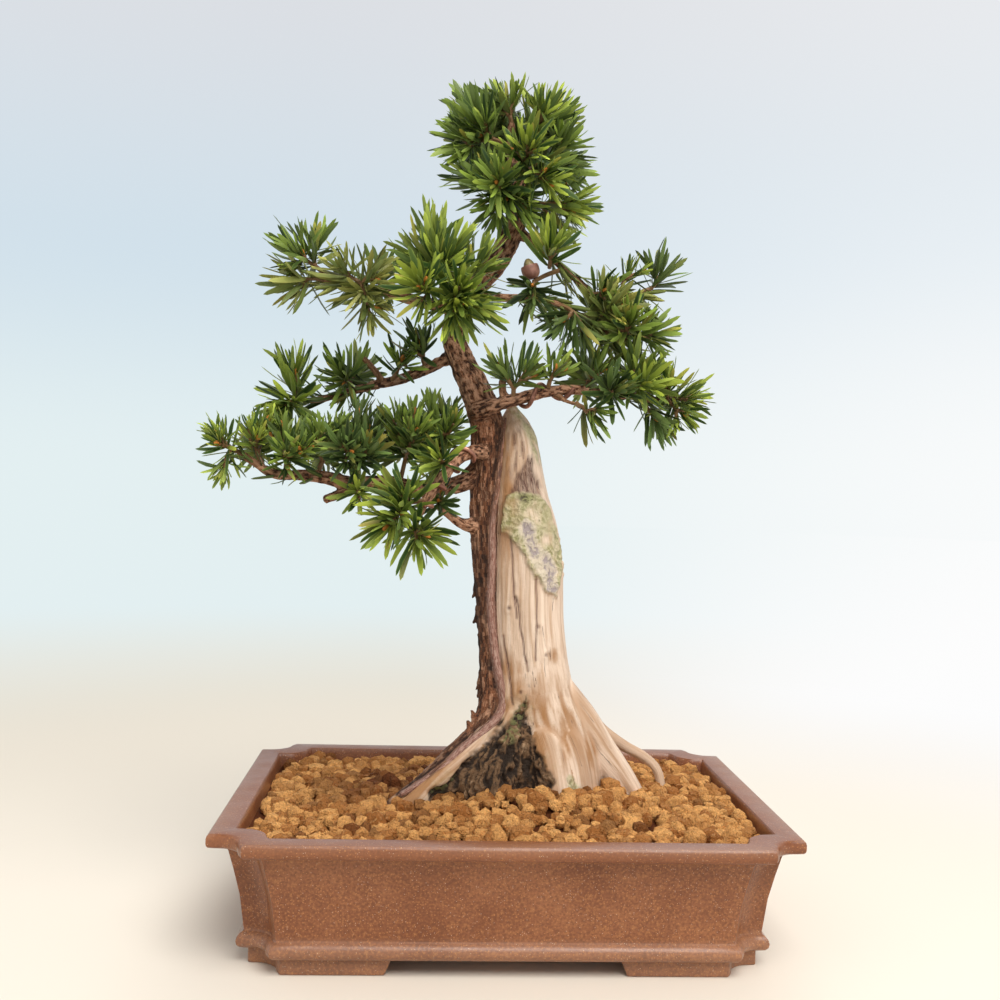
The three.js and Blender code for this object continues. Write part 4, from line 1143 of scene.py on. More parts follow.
@dataclass
class Soil:
    """Bed of baked loam crumbs, mounded round the trunk."""

    tray: Tray
    edge: float = 65.5
    mound: float = 11
    heap: Sequence[float] = (36, -44, 30, 17, 6)
    mound_x: float = 30
    reach: Point = (125, 95)
    pitch: float = 8.2
    stray: float = 4.4
    sizes: Point = (6.4, 12.6)
    sunk: float = 4.6
    inset: float = 14.5
    corner: Point = (20, 17)
    thinned: float = 0.3
    sinking: Point = (0.3, 0.75)
    lift: Point = (-2.2, 3.4)
    bed_wall: Points = ((27.5, 18.4), (17, 52), (14.4, 62))
    bed_inset: float = 14.2
    cuts: int = 7
    rusty: Point = (0.27, 0.3)
    moist_middle: Point = (-30, 12)
    moist_reach: Point = (86, 60)
    soft_angle: float = 40

    def height(self, x: Array, y: Array) -> Array:
        """Height of the soil at places in plan."""
        away = np.hypot((x - self.mound_x) / self.reach[0], y / self.reach[1])
        middle_x, middle_y, wide, deep, rise = self.heap
        heaped = rise * np.exp(-(((x - middle_x) / wide) ** 2) - ((y - middle_y) / deep) ** 2)
        return self.edge + self.mound * np.maximum(0, 1 - away * away) + heaped

    def bed(self) -> Shell:
        """Filling under the crumbs, a closed body inside the tray."""
        rings = [self.tray.ring(inset, height) for inset, height in self.bed_wall]
        top = self.tray.plan(self.bed_inset)
        for share in np.linspace(0.99, 0.04, 22):
            x, y = top[:, 0] * share + self.tray.middle_x, top[:, 1] * share
            rings.append(np.column_stack([x, y, self.height(x, y) - self.sunk]))
        poles = [rings[0].mean(axis=0), rings[-1].mean(axis=0)]
        return np.vstack([*rings, *poles]), skin_faces(len(rings), len(top))

    def places(self, wood: "WoodRoom") -> Array:
        """Crumbs as rows of x, y, z, radius and seed: two layers of close rows, clear of rim and wood."""
        kept = []
        half_x, half_y = self.tray.half_length - self.inset, self.tray.half_width - self.inset
        step = self.pitch * math.sqrt(3) / 2
        rows, columns = (int(2 * half / gap) + 1 for half, gap in ((half_y, step), (half_x, self.pitch)))
        for seed, (layer, row, column) in enumerate(product((0, 1), range(rows), range(columns)), 1):
            x = -half_x + (column + row % 2 / 2 + layer / 2) * self.pitch + (draw(seed) - 0.5) * self.stray
            y = -half_y + (row + layer / 3) * step + (draw(seed + 0.3) - 0.5) * self.stray
            size = mix(*self.sizes, draw(seed + 0.6) ** 1.6) / 2
            room_x, room_y = self.corner
            out = (abs(x) - half_x + room_x) / room_x + (abs(y) - half_y + room_y) / room_y
            spared = layer == 1 and draw(seed + 0.9) < self.thinned
            if spared or abs(x) > half_x - size or abs(y) > half_y - size or out > 0.7:
                continue
            kept.append((x + self.tray.middle_x, y, layer, size, seed))
        rows = np.array(kept)
        level = self.height(rows[:, 0], rows[:, 1])
        lift = np.array([draw(s + 0.8) for s in rows[:, 4]])
        sinking = np.where(rows[:, 2] == 0, *self.sinking) * rows[:, 3]
        rows[:, 2] = level - sinking + lift * self.lift[1] + self.lift[0]
        return rows[wood.away(rows[:, :3]) > rows[:, 3] * 0.15]

    def crumb(self) -> Shell:
        """A cube with each side divided in four, blown up to a ball."""
        grid = [place for place in product((-1, 0, 1), repeat=3) if any(place)]
        number = {place: i for i, place in enumerate(grid)}
        faces = []
        for axis, sign, u, v in product(range(3), (-1, 1), (-1, 0), (-1, 0)):
            ring = []
            for du, dv in ((0, 0), (1, 0), (1, 1), (0, 1)):
                place = [0, 0, 0]
                place[axis], place[(axis + 1) % 3], place[(axis + 2) % 3] = sign, u + du, v + dv
                ring.append(number[tuple(place)])
            faces.append(tuple(ring if sign > 0 else ring[::-1]))
        return unit(np.array(grid, float)), faces

    def broken(self, ball: Array, rows: Array, rng: Draws) -> Array:
        """Corners of every crumb: a dented ball with flat breaks, in its size and place.

        Args:
            ball: corners of the ball.
            rows: what places() gave.
            rng: the soil's own draws.

        Returns:
            The corners, crumb by crumb.
        """
        count = len(rows)
        normals = unit(rng.normal(size=(count, self.cuts, 3)))
        depth = rng.uniform(0.6, 0.9, size=(count, self.cuts))
        shape = np.repeat(ball[None], count, axis=0) * rng.uniform(0.88, 1.16, size=(count, len(ball), 1))
        for cut in range(self.cuts):
            over = np.einsum("nvk,nk->nv", shape, normals[:, cut]) - depth[:, cut, None]
            shape -= np.maximum(over, 0)[..., None] * normals[:, cut, None]
        shape = shape * rng.uniform(0.85, 1.25, size=(count, 1, 3))
        return shape * rows[:, 3, None, None] + rows[:, None, :3]

    def looks(self, rows: Array, rng: Draws) -> tuple[Array, Array]:
        """Tone of every crumb, some of them rusty, and how wet it is, most of all at the trunk."""
        count = len(rows)
        share, level = self.rusty
        tone = np.clip(rng.normal(0.8, 0.25, count), 0, 1)
        tone *= np.where(rng.uniform(0, 1, count) < share, level, 1)
        away = np.hypot(*((rows[:, k] - self.moist_middle[k]) / self.moist_reach[k] for k in (0, 1)))
        moist = np.clip(smooth(1.1, 0.3, away) * rng.uniform(0.3, 1.4, count), 0, 1) * 0.9
        return tone, np.maximum(moist, (rng.uniform(0, 1, count) > 0.92) * 0.6)

    def build(self, wood: "WoodRoom", finish: Material) -> None:
        """Builds and dresses the bed and its crumbs in a front and a back piece.

        Args:
            wood: where the wood is.
            finish: the soil's finish.
        """
        ball, faces = self.crumb()
        rows = self.places(wood)
        rng = np.random.default_rng(7)
        shape = self.broken(ball, rows, rng)
        tone, moist = self.looks(rows, rng)
        bed_points, bed_faces = self.bed()
        for name, chosen in (("soil_front", rows[:, 1] < 0), ("soil_back", rows[:, 1] >= 0)):
            parts = [(crumb, faces) for crumb in shape[chosen]]
            extra = 0
            if name == "soil_back":
                parts.append((bed_points, bed_faces))
                extra = len(bed_points)
            piece = new_piece(name, *joined(parts))
            # The bed takes the darkest wet colour, as painted shade in the gaps between the crumbs
            note(
                piece, tone=np.concatenate([np.repeat(tone[chosen], len(ball)), np.zeros(extra)]),
                moist=np.concatenate([np.repeat(moist[chosen], len(ball)), np.full(extra, 0.9)]))
            activate(piece)
            bpy.ops.object.shade_smooth_by_angle(angle=math.radians(self.soft_angle))
            hand_over(piece, finish, "soil", "soil")


class WoodRoom:
    """Room that the wood takes up, read from places along its limbs."""

    def __init__(self, lines: list[Walk]) -> None:
        """Gathers the places of all limbs."""
        self.places = np.vstack([line.places for line in lines])
        self.radii = np.concatenate([line.radii for line in lines])

    def away(self, points: Array) -> Array:
        """How far each place lies outside the wood, less than nothing inside it."""
        return nearest_place(points, self)[1]


class Wood:
    """Grown wood: limbs melted into one body, with what its relief and its finish need."""

    def __init__(self, name: str, lines: list[Walk], extra: list[Shell], voxel: float) -> None:
        """Melts the limbs together.

        Args:
            name: the piece's name.
            lines: its limbs.
            extra: further closed skins that belong to it.
            voxel: size of the finest form.
        """
        self.voxel = voxel
        self.lines = lines
        self.owner = np.zeros(0, int)
        parts = [tube(line, max(10, int(line.radii.max() * 5))) for line in lines]
        self.piece = new_piece(name, *joined(parts + extra))
        self.melt()

    def melt(self) -> None:
        """Makes one even skin of all that the piece holds."""
        modify(self.piece, "REMESH", mode="VOXEL", voxel_size=self.voxel * MM, use_smooth_shade=True)
        modify(self.piece, "SMOOTH", factor=0.5, iterations=4)

    def grain(self) -> Array:
        """Straightened place of each corner: round its limb in two numbers, then along it, in millimetres."""
        points = corners(self.piece)
        best = np.full(len(points), FAR)
        result = np.zeros((len(points), 3))
        self.owner = np.zeros(len(points), int)
        for number, line in enumerate(self.lines):
            nearest, distance = nearest_place(points, line)
            closer = distance < best
            self.owner[closer] = number
            best[closer] = distance[closer]
            at = nearest[closer]
            off = points[closer] - line.places[at]
            side = np.einsum("nk,nk->n", off, line.sides[at])
            other = np.einsum("nk,nk->n", off, line.others[at])
            away = np.maximum(np.hypot(side, other), 1e-6)
            radius = line.radii[at]
            result[closer] = np.column_stack([
                side / away * radius + 37 * number, other / away * radius, line.reach[at]])
        return result

    def edges(self) -> Array:
        """The two corners of each edge, in two rows."""
        mesh = self.piece.data
        flat = np.empty(len(mesh.edges) * 2, np.int32)
        mesh.edges.foreach_get("vertices", flat)
        return flat.reshape(-1, 2).T

    def seams(self) -> Array:
        """Share from 1 where two limbs join to 0 away from there, once grain() has told them apart."""
        one, two = self.edges()
        met = self.owner[one] != self.owner[two]
        marks = np.zeros(len(self.owner))
        marks[one[met]] = marks[two[met]] = 1
        return np.clip(self.spread(marks, 6) * 3, 0, 1)

    def spread(self, values: Array, rounds: int) -> Array:
        """Evens values out between neighbouring corners."""
        one, two = self.edges()
        size = len(self.piece.data.vertices)
        near = np.maximum(np.bincount(one, minlength=size) + np.bincount(two, minlength=size), 1)
        for _ in range(rounds):
            total = np.bincount(one, values[two], size) + np.bincount(two, values[one], size)
            values = 0.5 * values + 0.5 * total / near
        return values

    def raise_by(self, lift: Array) -> None:
        """Moves each corner out by its lift in millimetres."""
        move_corners(self.piece, corners(self.piece) + outward(self.piece) * lift[:, None])


def nearest_place(points: Array, line: Walk | WoodRoom) -> tuple[Array, Array]:
    """Nearest place along a limb for each point, and how far outside the limb's skin the point lies."""
    nearest, distance = np.empty(len(points), int), np.empty(len(points))
    for start in range(0, len(points), BLOCK):
        part = slice(start, start + BLOCK)
        reach = np.linalg.norm(points[part, None] - line.places[None], axis=2) - line.radii
        nearest[part], distance[part] = reach.argmin(axis=1), reach.min(axis=1)
    return nearest, distance


def facing_front(wood: Wood) -> Array:
    """Share from 1 where a surface faces the viewer to 0 where it faces away."""
    return smooth(-0.15, 0.35, -outward(wood.piece)[:, 1])


@dataclass
class Skin:
    """Corners of the deadwood, with what its relief and its colours are worked out from."""

    points: Array
    grain: Array
    front: Array
    wander: Array
    loose: Array


@dataclass
class Deadwood:
    """Bleached trunk and roots with flutes, cracks, a hollow, a raised scar and a rotten foot."""

    scar: Points = (
        (7, 233), (9, 239), (14, 242), (27, 241), (33, 232), (37, 221), (41, 204), (41, 193), (37, 183),
        (31, 187), (25, 196), (16, 211), (8, 220),
    )
    tongue: Points = ((20, 222), (25, 208), (34, 191))
    worn: Sequence[Points] = (((20, 223), (22, 215), (25, 206)), ((32, 204), (34, 195), (35, 188)))
    recess: Points = (
        (20, 263), (24, 256), (29, 244), (27.5, 239), (17, 236), (9.5, 241), (13, 250), (17, 257),
    )
    rot: Points = (
        (-30, 76), (-22.6, 82.5), (-5.5, 99), (5.3, 107), (14, 117), (19, 125), (22, 127), (24, 113),
        (28, 101), (33, 92), (36, 82), (34, 72), (20, 64), (0, 62), (-28, 62),
    )
    rotten_body: Points = (
        (20, -6, 124, 5), (15, -14, 108, 8), (10, -18, 95, 13), (5, -20, 80, 17), (3, -21, 62, 19),
    )
    rotten_root: Points = ((4, -18, 98, 7), (-9, -20, 86, 8), (-21, -22, 75, 8), (-32, -24, 62, 7))
    fill: Points = ((36, -3, 112, 14), (46, -10, 92, 13), (50, -14, 76, 12), (52, -17, 60, 12))
    cracks: Sequence[Points] = (
        ((12, 217), (13, 195), (16, 170)), ((26, 197), (27, 172), (27, 147)),
        ((16, 181), (19, 160), (23, 141)), ((9, 160), (12, 140), (15, 122)),
    )
    knots: Points = ((15, 182), (12, 176), (28, 166), (19, 129), (33, 150))
    stains: Sequence[Points] = (
        ((37, 150), (2, 3)), ((12, 140), (6, 10)), ((27, 119), (7, 14)), ((31, 101), (5, 13)),
        ((9, 240), (6, 46)), ((8, 262), (6, 30)), ((60, 96), (5, 12)), ((44, 104), (3, 16)),
        ((16, 131), (5, 8)),
    )
    moss_edge: Points = ((12, 292), (20, 282), (25, 271), (28, 261))
    moss_foot: Points = ((47, 83), (50, 76))
    moss_rot: Sequence[tuple] = ((((-26, 80), (-20, 84)), 0.9), (((18, 124), (17, 112), (12, 106)), 0.5))
    blotch: Points = ((14, 264), (7, 15))
    # Painted shadow in the lower pocket of the hollow
    pocket_shadow: Points = ((19.5, 238.5), (5, 2.6))
    strip: Points = ((-28, 80), (-2, 97), (14, 113))
    voxel: float = 0.95

    def build(self, finish: Material) -> Wood:
        """Builds and dresses the deadwood.

        Args:
            finish: its finish.

        Returns:
            The wood.
        """
        paths = (DEAD_TRUNK, *DEAD_ROOTS.values(), self.rotten_body, self.rotten_root, self.fill)
        wood = Wood("deadwood_trunk", [walk(path) for path in paths], [], self.voxel)
        skin = self.skin(wood)
        points, front = skin.points, skin.front
        scar, rim, worn = self.scarred(skin)
        rot, crest = self.rotten(skin)
        crack, knot, dots = self.broken(skin)
        sunk = depth_inside(points[:, ::2] + 1.5 * skin.wander[:, ::2], self.recess)
        sunk = smooth(-1.2, 1.6, sunk) * (points[:, 1] < 8)
        lift = self.fibres(skin.grain) * (1 - 0.8 * scar)
        lift += scar * (1.6 + relief(points, 0.4, 13) * 0.5) + rim * 0.9 - worn * 0.8
        pit = sunk * (2.2 + drawn(skin.grain, 0.5, 0.04, 23) * 1.4)
        lift += (knot - 0.9 * crack) * front * (1 - rot) - pit
        lift = lift * (1 - rot) + rot * (crest * 4 - 2.6)
        seam = wood.seams()
        lift = lift * (1 - seam) + wood.spread(lift, 14) * seam
        wood.raise_by(wood.spread(lift, 1))
        blotch = round_patch(skin.loose, *self.blotch, 0.6) * patches(skin.grain, (0.5, 0.5, 0.07), 67, 2, 0)
        shadow = smooth(-0.9, -2.4, lift) * 0.35 + 0.95 * crack * front + dots + 0.8 * blotch
        shadow += sunk * (0.85 + 0.6 * drawn(skin.grain, 0.6, 0.03, 12))
        groove = np.clip(np.maximum(shadow, self.hem(skin)), 0, 1) * (1 - rot) * (1 - scar)
        # Painted shadow at the hollow's lower edge, in the rotten wood's colours
        pocket_shadow = round_patch(skin.loose, *self.pocket_shadow, 0.4) * front
        note(
            wood.piece, grain=skin.grain, moss=self.mossy(skin, scar, rot), worn=worn,
            warm=self.stained(skin), groove=groove, dark=np.maximum(rot, 0.8 * pocket_shadow),
            crest=np.clip(crest, 0, 1) * rot, seam=seam)
        hand_over(wood.piece, finish, "deadwood", "deadwood")
        return wood

    def skin(self, wood: Wood) -> Skin:
        """The corners before they are raised, with front places that wander for natural outlines."""
        grain, points = wood.grain(), corners(wood.piece)
        wander = wobble(points, 0.12, 1, 21, 41)
        loose = points[:, ::2] + 2.2 * wander[:, ::2] + 0.9 * wobble(points, 0.5, 61, 81)
        return Skin(points, grain, facing_front(wood), wander, loose)

    def fibres(self, grain: Array) -> Array:
        """Relief of the bare wood: flutes, ribs and fine fibres."""
        flutes = drawn(grain, 0.085, 0.006) * 1.4
        ribs = (0.4 - np.abs(drawn(grain, 0.2, 0.011, 5))) * 0.7
        return flutes + ribs + drawn(grain, 0.75, 0.02, 9) * 0.22

    def broken(self, skin: Skin) -> tuple[Array, Array, Array]:
        """Cracks, the relief of the knots, and the knots' dark middles."""
        face = skin.points[:, ::2] + 0.5 * skin.wander[:, ::2]
        crack = np.maximum.reduce([smooth(1.0, 0.1, away_from_line(face, line)) for line in self.cracks])
        knot, dots = np.zeros(len(face)), np.zeros(len(face))
        for x, z in self.knots:
            away = np.hypot(skin.points[:, 0] - x, skin.points[:, 2] - z)
            knot += 1.2 * np.exp(-(away / 3) ** 2) - 1.9 * np.exp(-away**2)
            dots += np.exp(-(away / 1.1) ** 2) * skin.front
        return crack, knot, dots

    def scarred(self, skin: Skin) -> tuple[Array, Array, Array]:
        """The scar, its raised rim, and where its moss is worn off."""
        deep = depth_inside(skin.loose, self.scar)
        scar = smooth(-0.8, 0.8, deep) * skin.front
        rim = np.exp(-((deep - 0.6) / 1.4) ** 2) * skin.front
        worn = np.zeros(len(scar))
        for line, wide, level in ((self.tongue, 5.6, 0.5), *((patch, 4.2, 1) for patch in self.worn)):
            away = away_from_line(skin.loose, line)
            worn = np.maximum(worn, level * smooth(wide + 1, wide - 2.6, away) * scar)
        return scar, rim, worn

    def rotten(self, skin: Skin) -> tuple[Array, Array]:
        """Where the wood is rotten, and how its crests and hollows run there."""
        ragged = skin.loose + 1.6 * wobble(skin.points, 0.3, 91, 92)
        ragged += 4 * wobble(skin.points, 0.09, 93, 94)
        rot = smooth(-1.0, 1.2, depth_inside(ragged, self.rot)) * smooth(0, -6, skin.points[:, 1])
        swirl = skin.grain + 5 * skin.wander
        crest = 0.5 - 1.3 * np.abs(drawn(swirl, 0.22, 0.035, 31))
        crest += relief(skin.points, 0.11, 37) * 0.6 + drawn(swirl, 0.7, 0.08, 71) * 0.6
        return rot, crest

    def mossy(self, skin: Skin, scar: Array, rot: Array) -> Array:
        """How green the wood is: on the scar, at the upper edge, at the foot and round the rot."""
        points, loose, front = skin.points, skin.loose, skin.front
        edge = smooth(6, 2, away_from_line(loose, self.moss_edge)) * smooth(254, 262, points[:, 2])
        around = smooth(-9, 0, depth_inside(loose, self.rot)) * smooth(0, -6, points[:, 1])
        layers = [
            scar * patches(points, 0.16, 77, 1, 0.9), edge * patches(points, 0.2, 78, 1.5, 0.7),
            0.9 * smooth(3.5, 1, away_from_line(loose, self.moss_foot)) * front,
            0.2 * around * patches(points, 0.3, 79, 2, 0) * (1 - rot),
        ]
        for line, share in self.moss_rot:
            layers.append(share * smooth(5, 2, away_from_line(loose, line)) * front * (0.2 + 0.8 * rot))
        return np.maximum.reduce(layers)

    def stained(self, skin: Skin) -> Array:
        """How brown the wood is: its stains, the streams at its foot and its weathered left side."""
        grain, front = skin.grain, skin.front
        x, _, z = skin.points.T
        warm = np.maximum.reduce([round_patch(skin.loose, *stain, 0.9) * front for stain in self.stains])
        warm *= np.clip(0.85 + drawn(grain, 0.4, 0.03, 66), 0.4, 1)
        low = smooth(142, 118, z) * patches(grain, (0.15, 0.15, 0.012), 55, 3.6, 0.75)
        low *= 0.45 + 0.55 * smooth(64, 42, x)
        strip = smooth(9, 4, away_from_line(skin.loose, self.strip)) * front
        low = np.maximum(low, (0.5 + drawn(grain, 0.3, 0.03, 57)) * strip)
        left = smooth(30, 12, x - 4 * smooth(240, 255, z))
        weathered = 0.34 * left * patches(grain, (0.25, 0.25, 0.02), 56, 2, 0.6)
        return np.maximum.reduce([warm, low, 1.3 * weathered])

    def hem(self, skin: Skin) -> Array:
        """Dark line where the wood meets the callus over the rot."""
        x, _, z = skin.points.T
        cord = np.array(LiveWood.cord, float)[8:][::-1]
        above = z - np.interp(x, cord[:, 0], cord[:, 1])
        ends = smooth(10, 8, x), smooth(123, 120, z)
        return smooth(-1.5, 0.3, above) * ends[0] * ends[1] * skin.front


@dataclass
class LiveWood:
    """Living trunk and branches under flaky bark, with the callus that edges the deadwood."""

    cord: Points = (
        (7, 284, 0.8), (5, 258, 1), (4, 246, 1.2), (1.5, 222, 1.5), (2, 206, 1.7), (1.5, 180, 1.8),
        (4, 155, 2.1), (7.5, 136, 2.3), (10.4, 121.5, 2.3), (6, 113, 2.1), (-1, 107.5, 1.9),
        (-12.5, 99, 1.8), (-21.7, 90.5, 1.6), (-32, 83, 1.5), (-46, 75, 1.2),
    )
    scraps: Points = (
        (189, 9), (181, 7), (174, 10), (163, 8), (152, 6), (137, 11), (130, 8), (121, 6), (110, 8), (106, 6),
    )
    scrap_form: Points = ((0, 0, 1.6), (0.08, 0.35, 1.5), (0.2, 0.7, 1.2), (0.5, 0.95, 0.7))
    voxel: float = 0.8

    def build(self, dead: Wood, finish: Material) -> Wood:
        """Builds and dresses the live wood.

        Args:
            dead: the deadwood that the callus lies against.
            finish: the bark's finish.

        Returns:
            The wood.
        """
        trunk = walk(LIVE_TRUNK)
        lines = [trunk, *(walk(path) for path in LIVE_BRANCHES.values())]
        cord = walk(self.callus(dead, trunk))
        wood = Wood("live_wood_and_branches", lines + [cord], self.peelings(trunk), self.voxel)
        grain, points = wood.grain(), corners(wood.piece)
        x, y, z = points.T
        thick = self.thickness(points, lines)
        scale = np.clip(thick / 8, 0.14, 1)
        beyond = nearest_place(points, cord)[1]
        on_cord = smooth(1.2, 0.3, beyond) * (1 - 0.7 * smooth(205, 250, z))
        stringy = smooth(300, 270, z) * smooth(5, 6.5, thick)
        lift = self.flaked(grain, stringy) * scale * (1 - 0.9 * on_cord)
        line = cord.places[cord.places[:, 2] < 113][::-1]
        below = np.interp(x, line[:, 0], line[:, 2]) - z
        behind = y - np.interp(x, line[:, 0], line[:, 1])
        bare = smooth(0.8, 2, below) * smooth(120, 112, z) * facing_front(wood) * (1 - on_cord)
        bare *= smooth(-54, -46, x) * smooth(7, 4.5, behind)
        wood.raise_by(wood.spread(lift * (1 - bare), 1))
        # Painted shade on the trunk's left side
        left = smooth(-1, -5, x) * smooth(108, 122, z) * smooth(220, 195, z)
        fleck = smooth(0.15, 0.45, drawn(grain, 0.5, 0.2, 44))
        root = smooth(112, 100, z) * 0.45
        beside = np.exp(-((beyond - 1.7) / 0.9) ** 2)
        # dark: painted shade in the bark's furrows, on the trunk's left side and in the creases along both
        # sides of the callus; also darker toward the foot and in random flecks
        dark = smooth(0.1, -0.5, lift) * 0.5 + 0.5 * left + root + fleck * scale * 0.4 + 0.5 * beside
        note(
            wood.piece, grain=grain, stringy=stringy, callus=on_cord, cambium=bare,
            young=smooth(2.8, 1.8, thick) * 0.6, dark=np.clip(dark, 0, 1) * (1 - on_cord) * (1 - bare))
        hand_over(wood.piece, finish, "bark", "live_wood")
        return wood

    def flaked(self, grain: Array, stringy: Array) -> Array:
        """Relief of the bark: long plates on the trunk, short ones on the branches, ridges and flakes."""
        plates = (0.3 - np.abs(drawn(grain, 0.3, 0.08, 3))) * 2 * stringy
        plates += (0.25 - np.abs(drawn(grain, 0.34, 0.2, 4))) * 2.2 * (1 - stringy)
        return plates + drawn(grain, 0.13, 0.012, 8) * 0.7 + drawn(grain, 0.8, 0.35, 15) * 0.4

    def peelings(self, trunk: Walk) -> list[Shell]:
        """Scraps of dead bark that stand off the trunk's left side."""
        parts = []
        for k, (height, size) in enumerate(self.scraps):
            at = int(np.abs(trunk.places[:, 2] - height - draw(k)).argmin())
            turn = mix(2.7, 3.9, draw(k + 0.3))
            out = np.array([math.cos(turn), math.sin(turn) * 0.9, 0.0])
            foot = trunk.places[at] + out * trunk.radii[at] * 0.9
            rise = 1 if draw(k + 0.7) < 0.75 else -1
            path = [
                (*(foot + out * size * away * 0.6 + np.array([0, 0, rise * size * up])), thick)
                for away, up, thick in self.scrap_form]
            parts.append(tube(walk(path, 0.8), 8))
        return parts

    def thickness(self, points: Array, lines: list[Walk]) -> Array:
        """Radius of the limb that each place lies on."""
        best, result = np.full(len(points), FAR), np.zeros(len(points))
        for line in lines:
            nearest, away = nearest_place(points, line)
            closer = away < best
            best[closer] = away[closer]
            result[closer] = line.radii[nearest[closer]]
        return result

    def callus(self, dead: Wood, trunk: Walk) -> list[Point]:
        """Path of the callus over the front of the wood."""
        bark = tube(trunk, 48)[0]
        both = np.vstack([corners(dead.piece), bark])
        path = []
        for x, z, radius in self.cord:
            skin = both if z > 125 else bark
            near = skin[(np.abs(skin[:, 0] - x) < 2.5) & (np.abs(skin[:, 2] - z) < 3)]
            path.append((x, near[:, 1].min() + 0.3, z, radius))
        return path


@dataclass
class Wire:
    """Copper-brown wire wound round a branch."""

    name: str
    branch: str
    part: Point
    turns: float
    start: float
    radius: float = 1.25
    lift: float = 0.35
    ease: int = 40

    def build(self, finish: Material) -> None:
        """Builds and dresses the wire along the same winding as its solid."""
        path = np.array(LIVE_BRANCHES[self.branch], float)
        shares = np.linspace(*self.part, self.ease * 4)
        places = spline(path[:, :3], shares)
        ways = unit(np.gradient(places, axis=0))
        first = unit(spline(path[:, :3], np.array([0.001]))[0] - path[0, :3])
        side = carried_sides(first_side(first), np.vstack([first, ways]))[1:]
        other = np.cross(ways, side)
        radii = np.interp(shares * (len(path) - 1), range(len(path)), path[:, 3]) + self.radius + self.lift
        turn = self.start + 2 * math.pi * self.turns * np.linspace(0, 1, len(shares))
        centre = places + (np.cos(turn)[:, None] * side + np.sin(turn)[:, None] * other) * radii[:, None]
        line = walk(np.column_stack([centre, np.full(len(centre), self.radius)]), 0.8)
        piece = new_piece(f"{self.name}_wound", *tube(line, 14, 1))
        hand_over(piece, finish, "wire", self.name)


@dataclass
class Seed:
    """Seed in its fleshy cup, hanging from the twig."""

    foot: Point = (19.5, -18, 361.3)
    tilt: float = -18
    radius: float = 5.1
    height: float = 7.6
    wall: float = 1.3
    seed_radius: float = 3.4
    seed_height: float = 10.2
    sides: int = 36
    steps: int = 40

    def turned(self, name: str, profile: Points) -> Piece:
        """Closed turned piece from radii and heights over the cup's foot, as the cup is tilted."""
        line = spline(np.array([(r, 0, z) for r, z in profile], float), np.linspace(0, 1, self.steps))
        turns = np.linspace(0, 2 * math.pi, self.sides, endpoint=False)
        rings = [
            np.column_stack([np.cos(turns) * r, np.sin(turns) * r, np.full(self.sides, z)])
            for r, _, z in line[1:-1]]
        points = np.vstack([*rings, line[0], line[-1]])
        tilt = Matrix.Rotation(math.radians(self.tilt), 3, "Y")
        places = points @ np.array(tilt).T + np.array(self.foot)
        return new_piece(name, places, skin_faces(len(rings), self.sides))

    def build(self, flesh: Material, stone: Material) -> None:
        """Builds and dresses the cup and the seed."""
        r, h, w = self.radius, self.height, self.wall
        cup = self.turned("seed_cup_flesh", (
            (0, 0), (r * 0.5, 0.2), (r * 0.9, h * 0.3), (r, h * 0.62), (r * 0.93, h), (r * 0.84, h + 0.1),
            (r * 0.92 - w, h - 0.4), (r - w * 1.1, h * 0.62), (r * 0.5, w + 0.4), (0, w)))
        hand_over(cup, flesh, "seed_cup", "seed_cup")
        s, t, base = self.seed_radius, self.seed_height, w + GAP
        seed = self.turned("seed_stone", (
            (0, base), (s * 0.5, base + 0.7), (s * 0.92, base + t * 0.22), (s, base + t * 0.44),
            (s * 0.8, base + t * 0.75), (s * 0.3, base + t * 0.97), (0, base + t)))
        hand_over(seed, stone, "seed", "seed")


@dataclass(frozen=True)
class Shoot:
    """Leafy stretch of a twig: where it starts and ends, and how long its needles are."""

    start: Array
    end: Array
    length: float
    droop: bool
    crown: bool = True


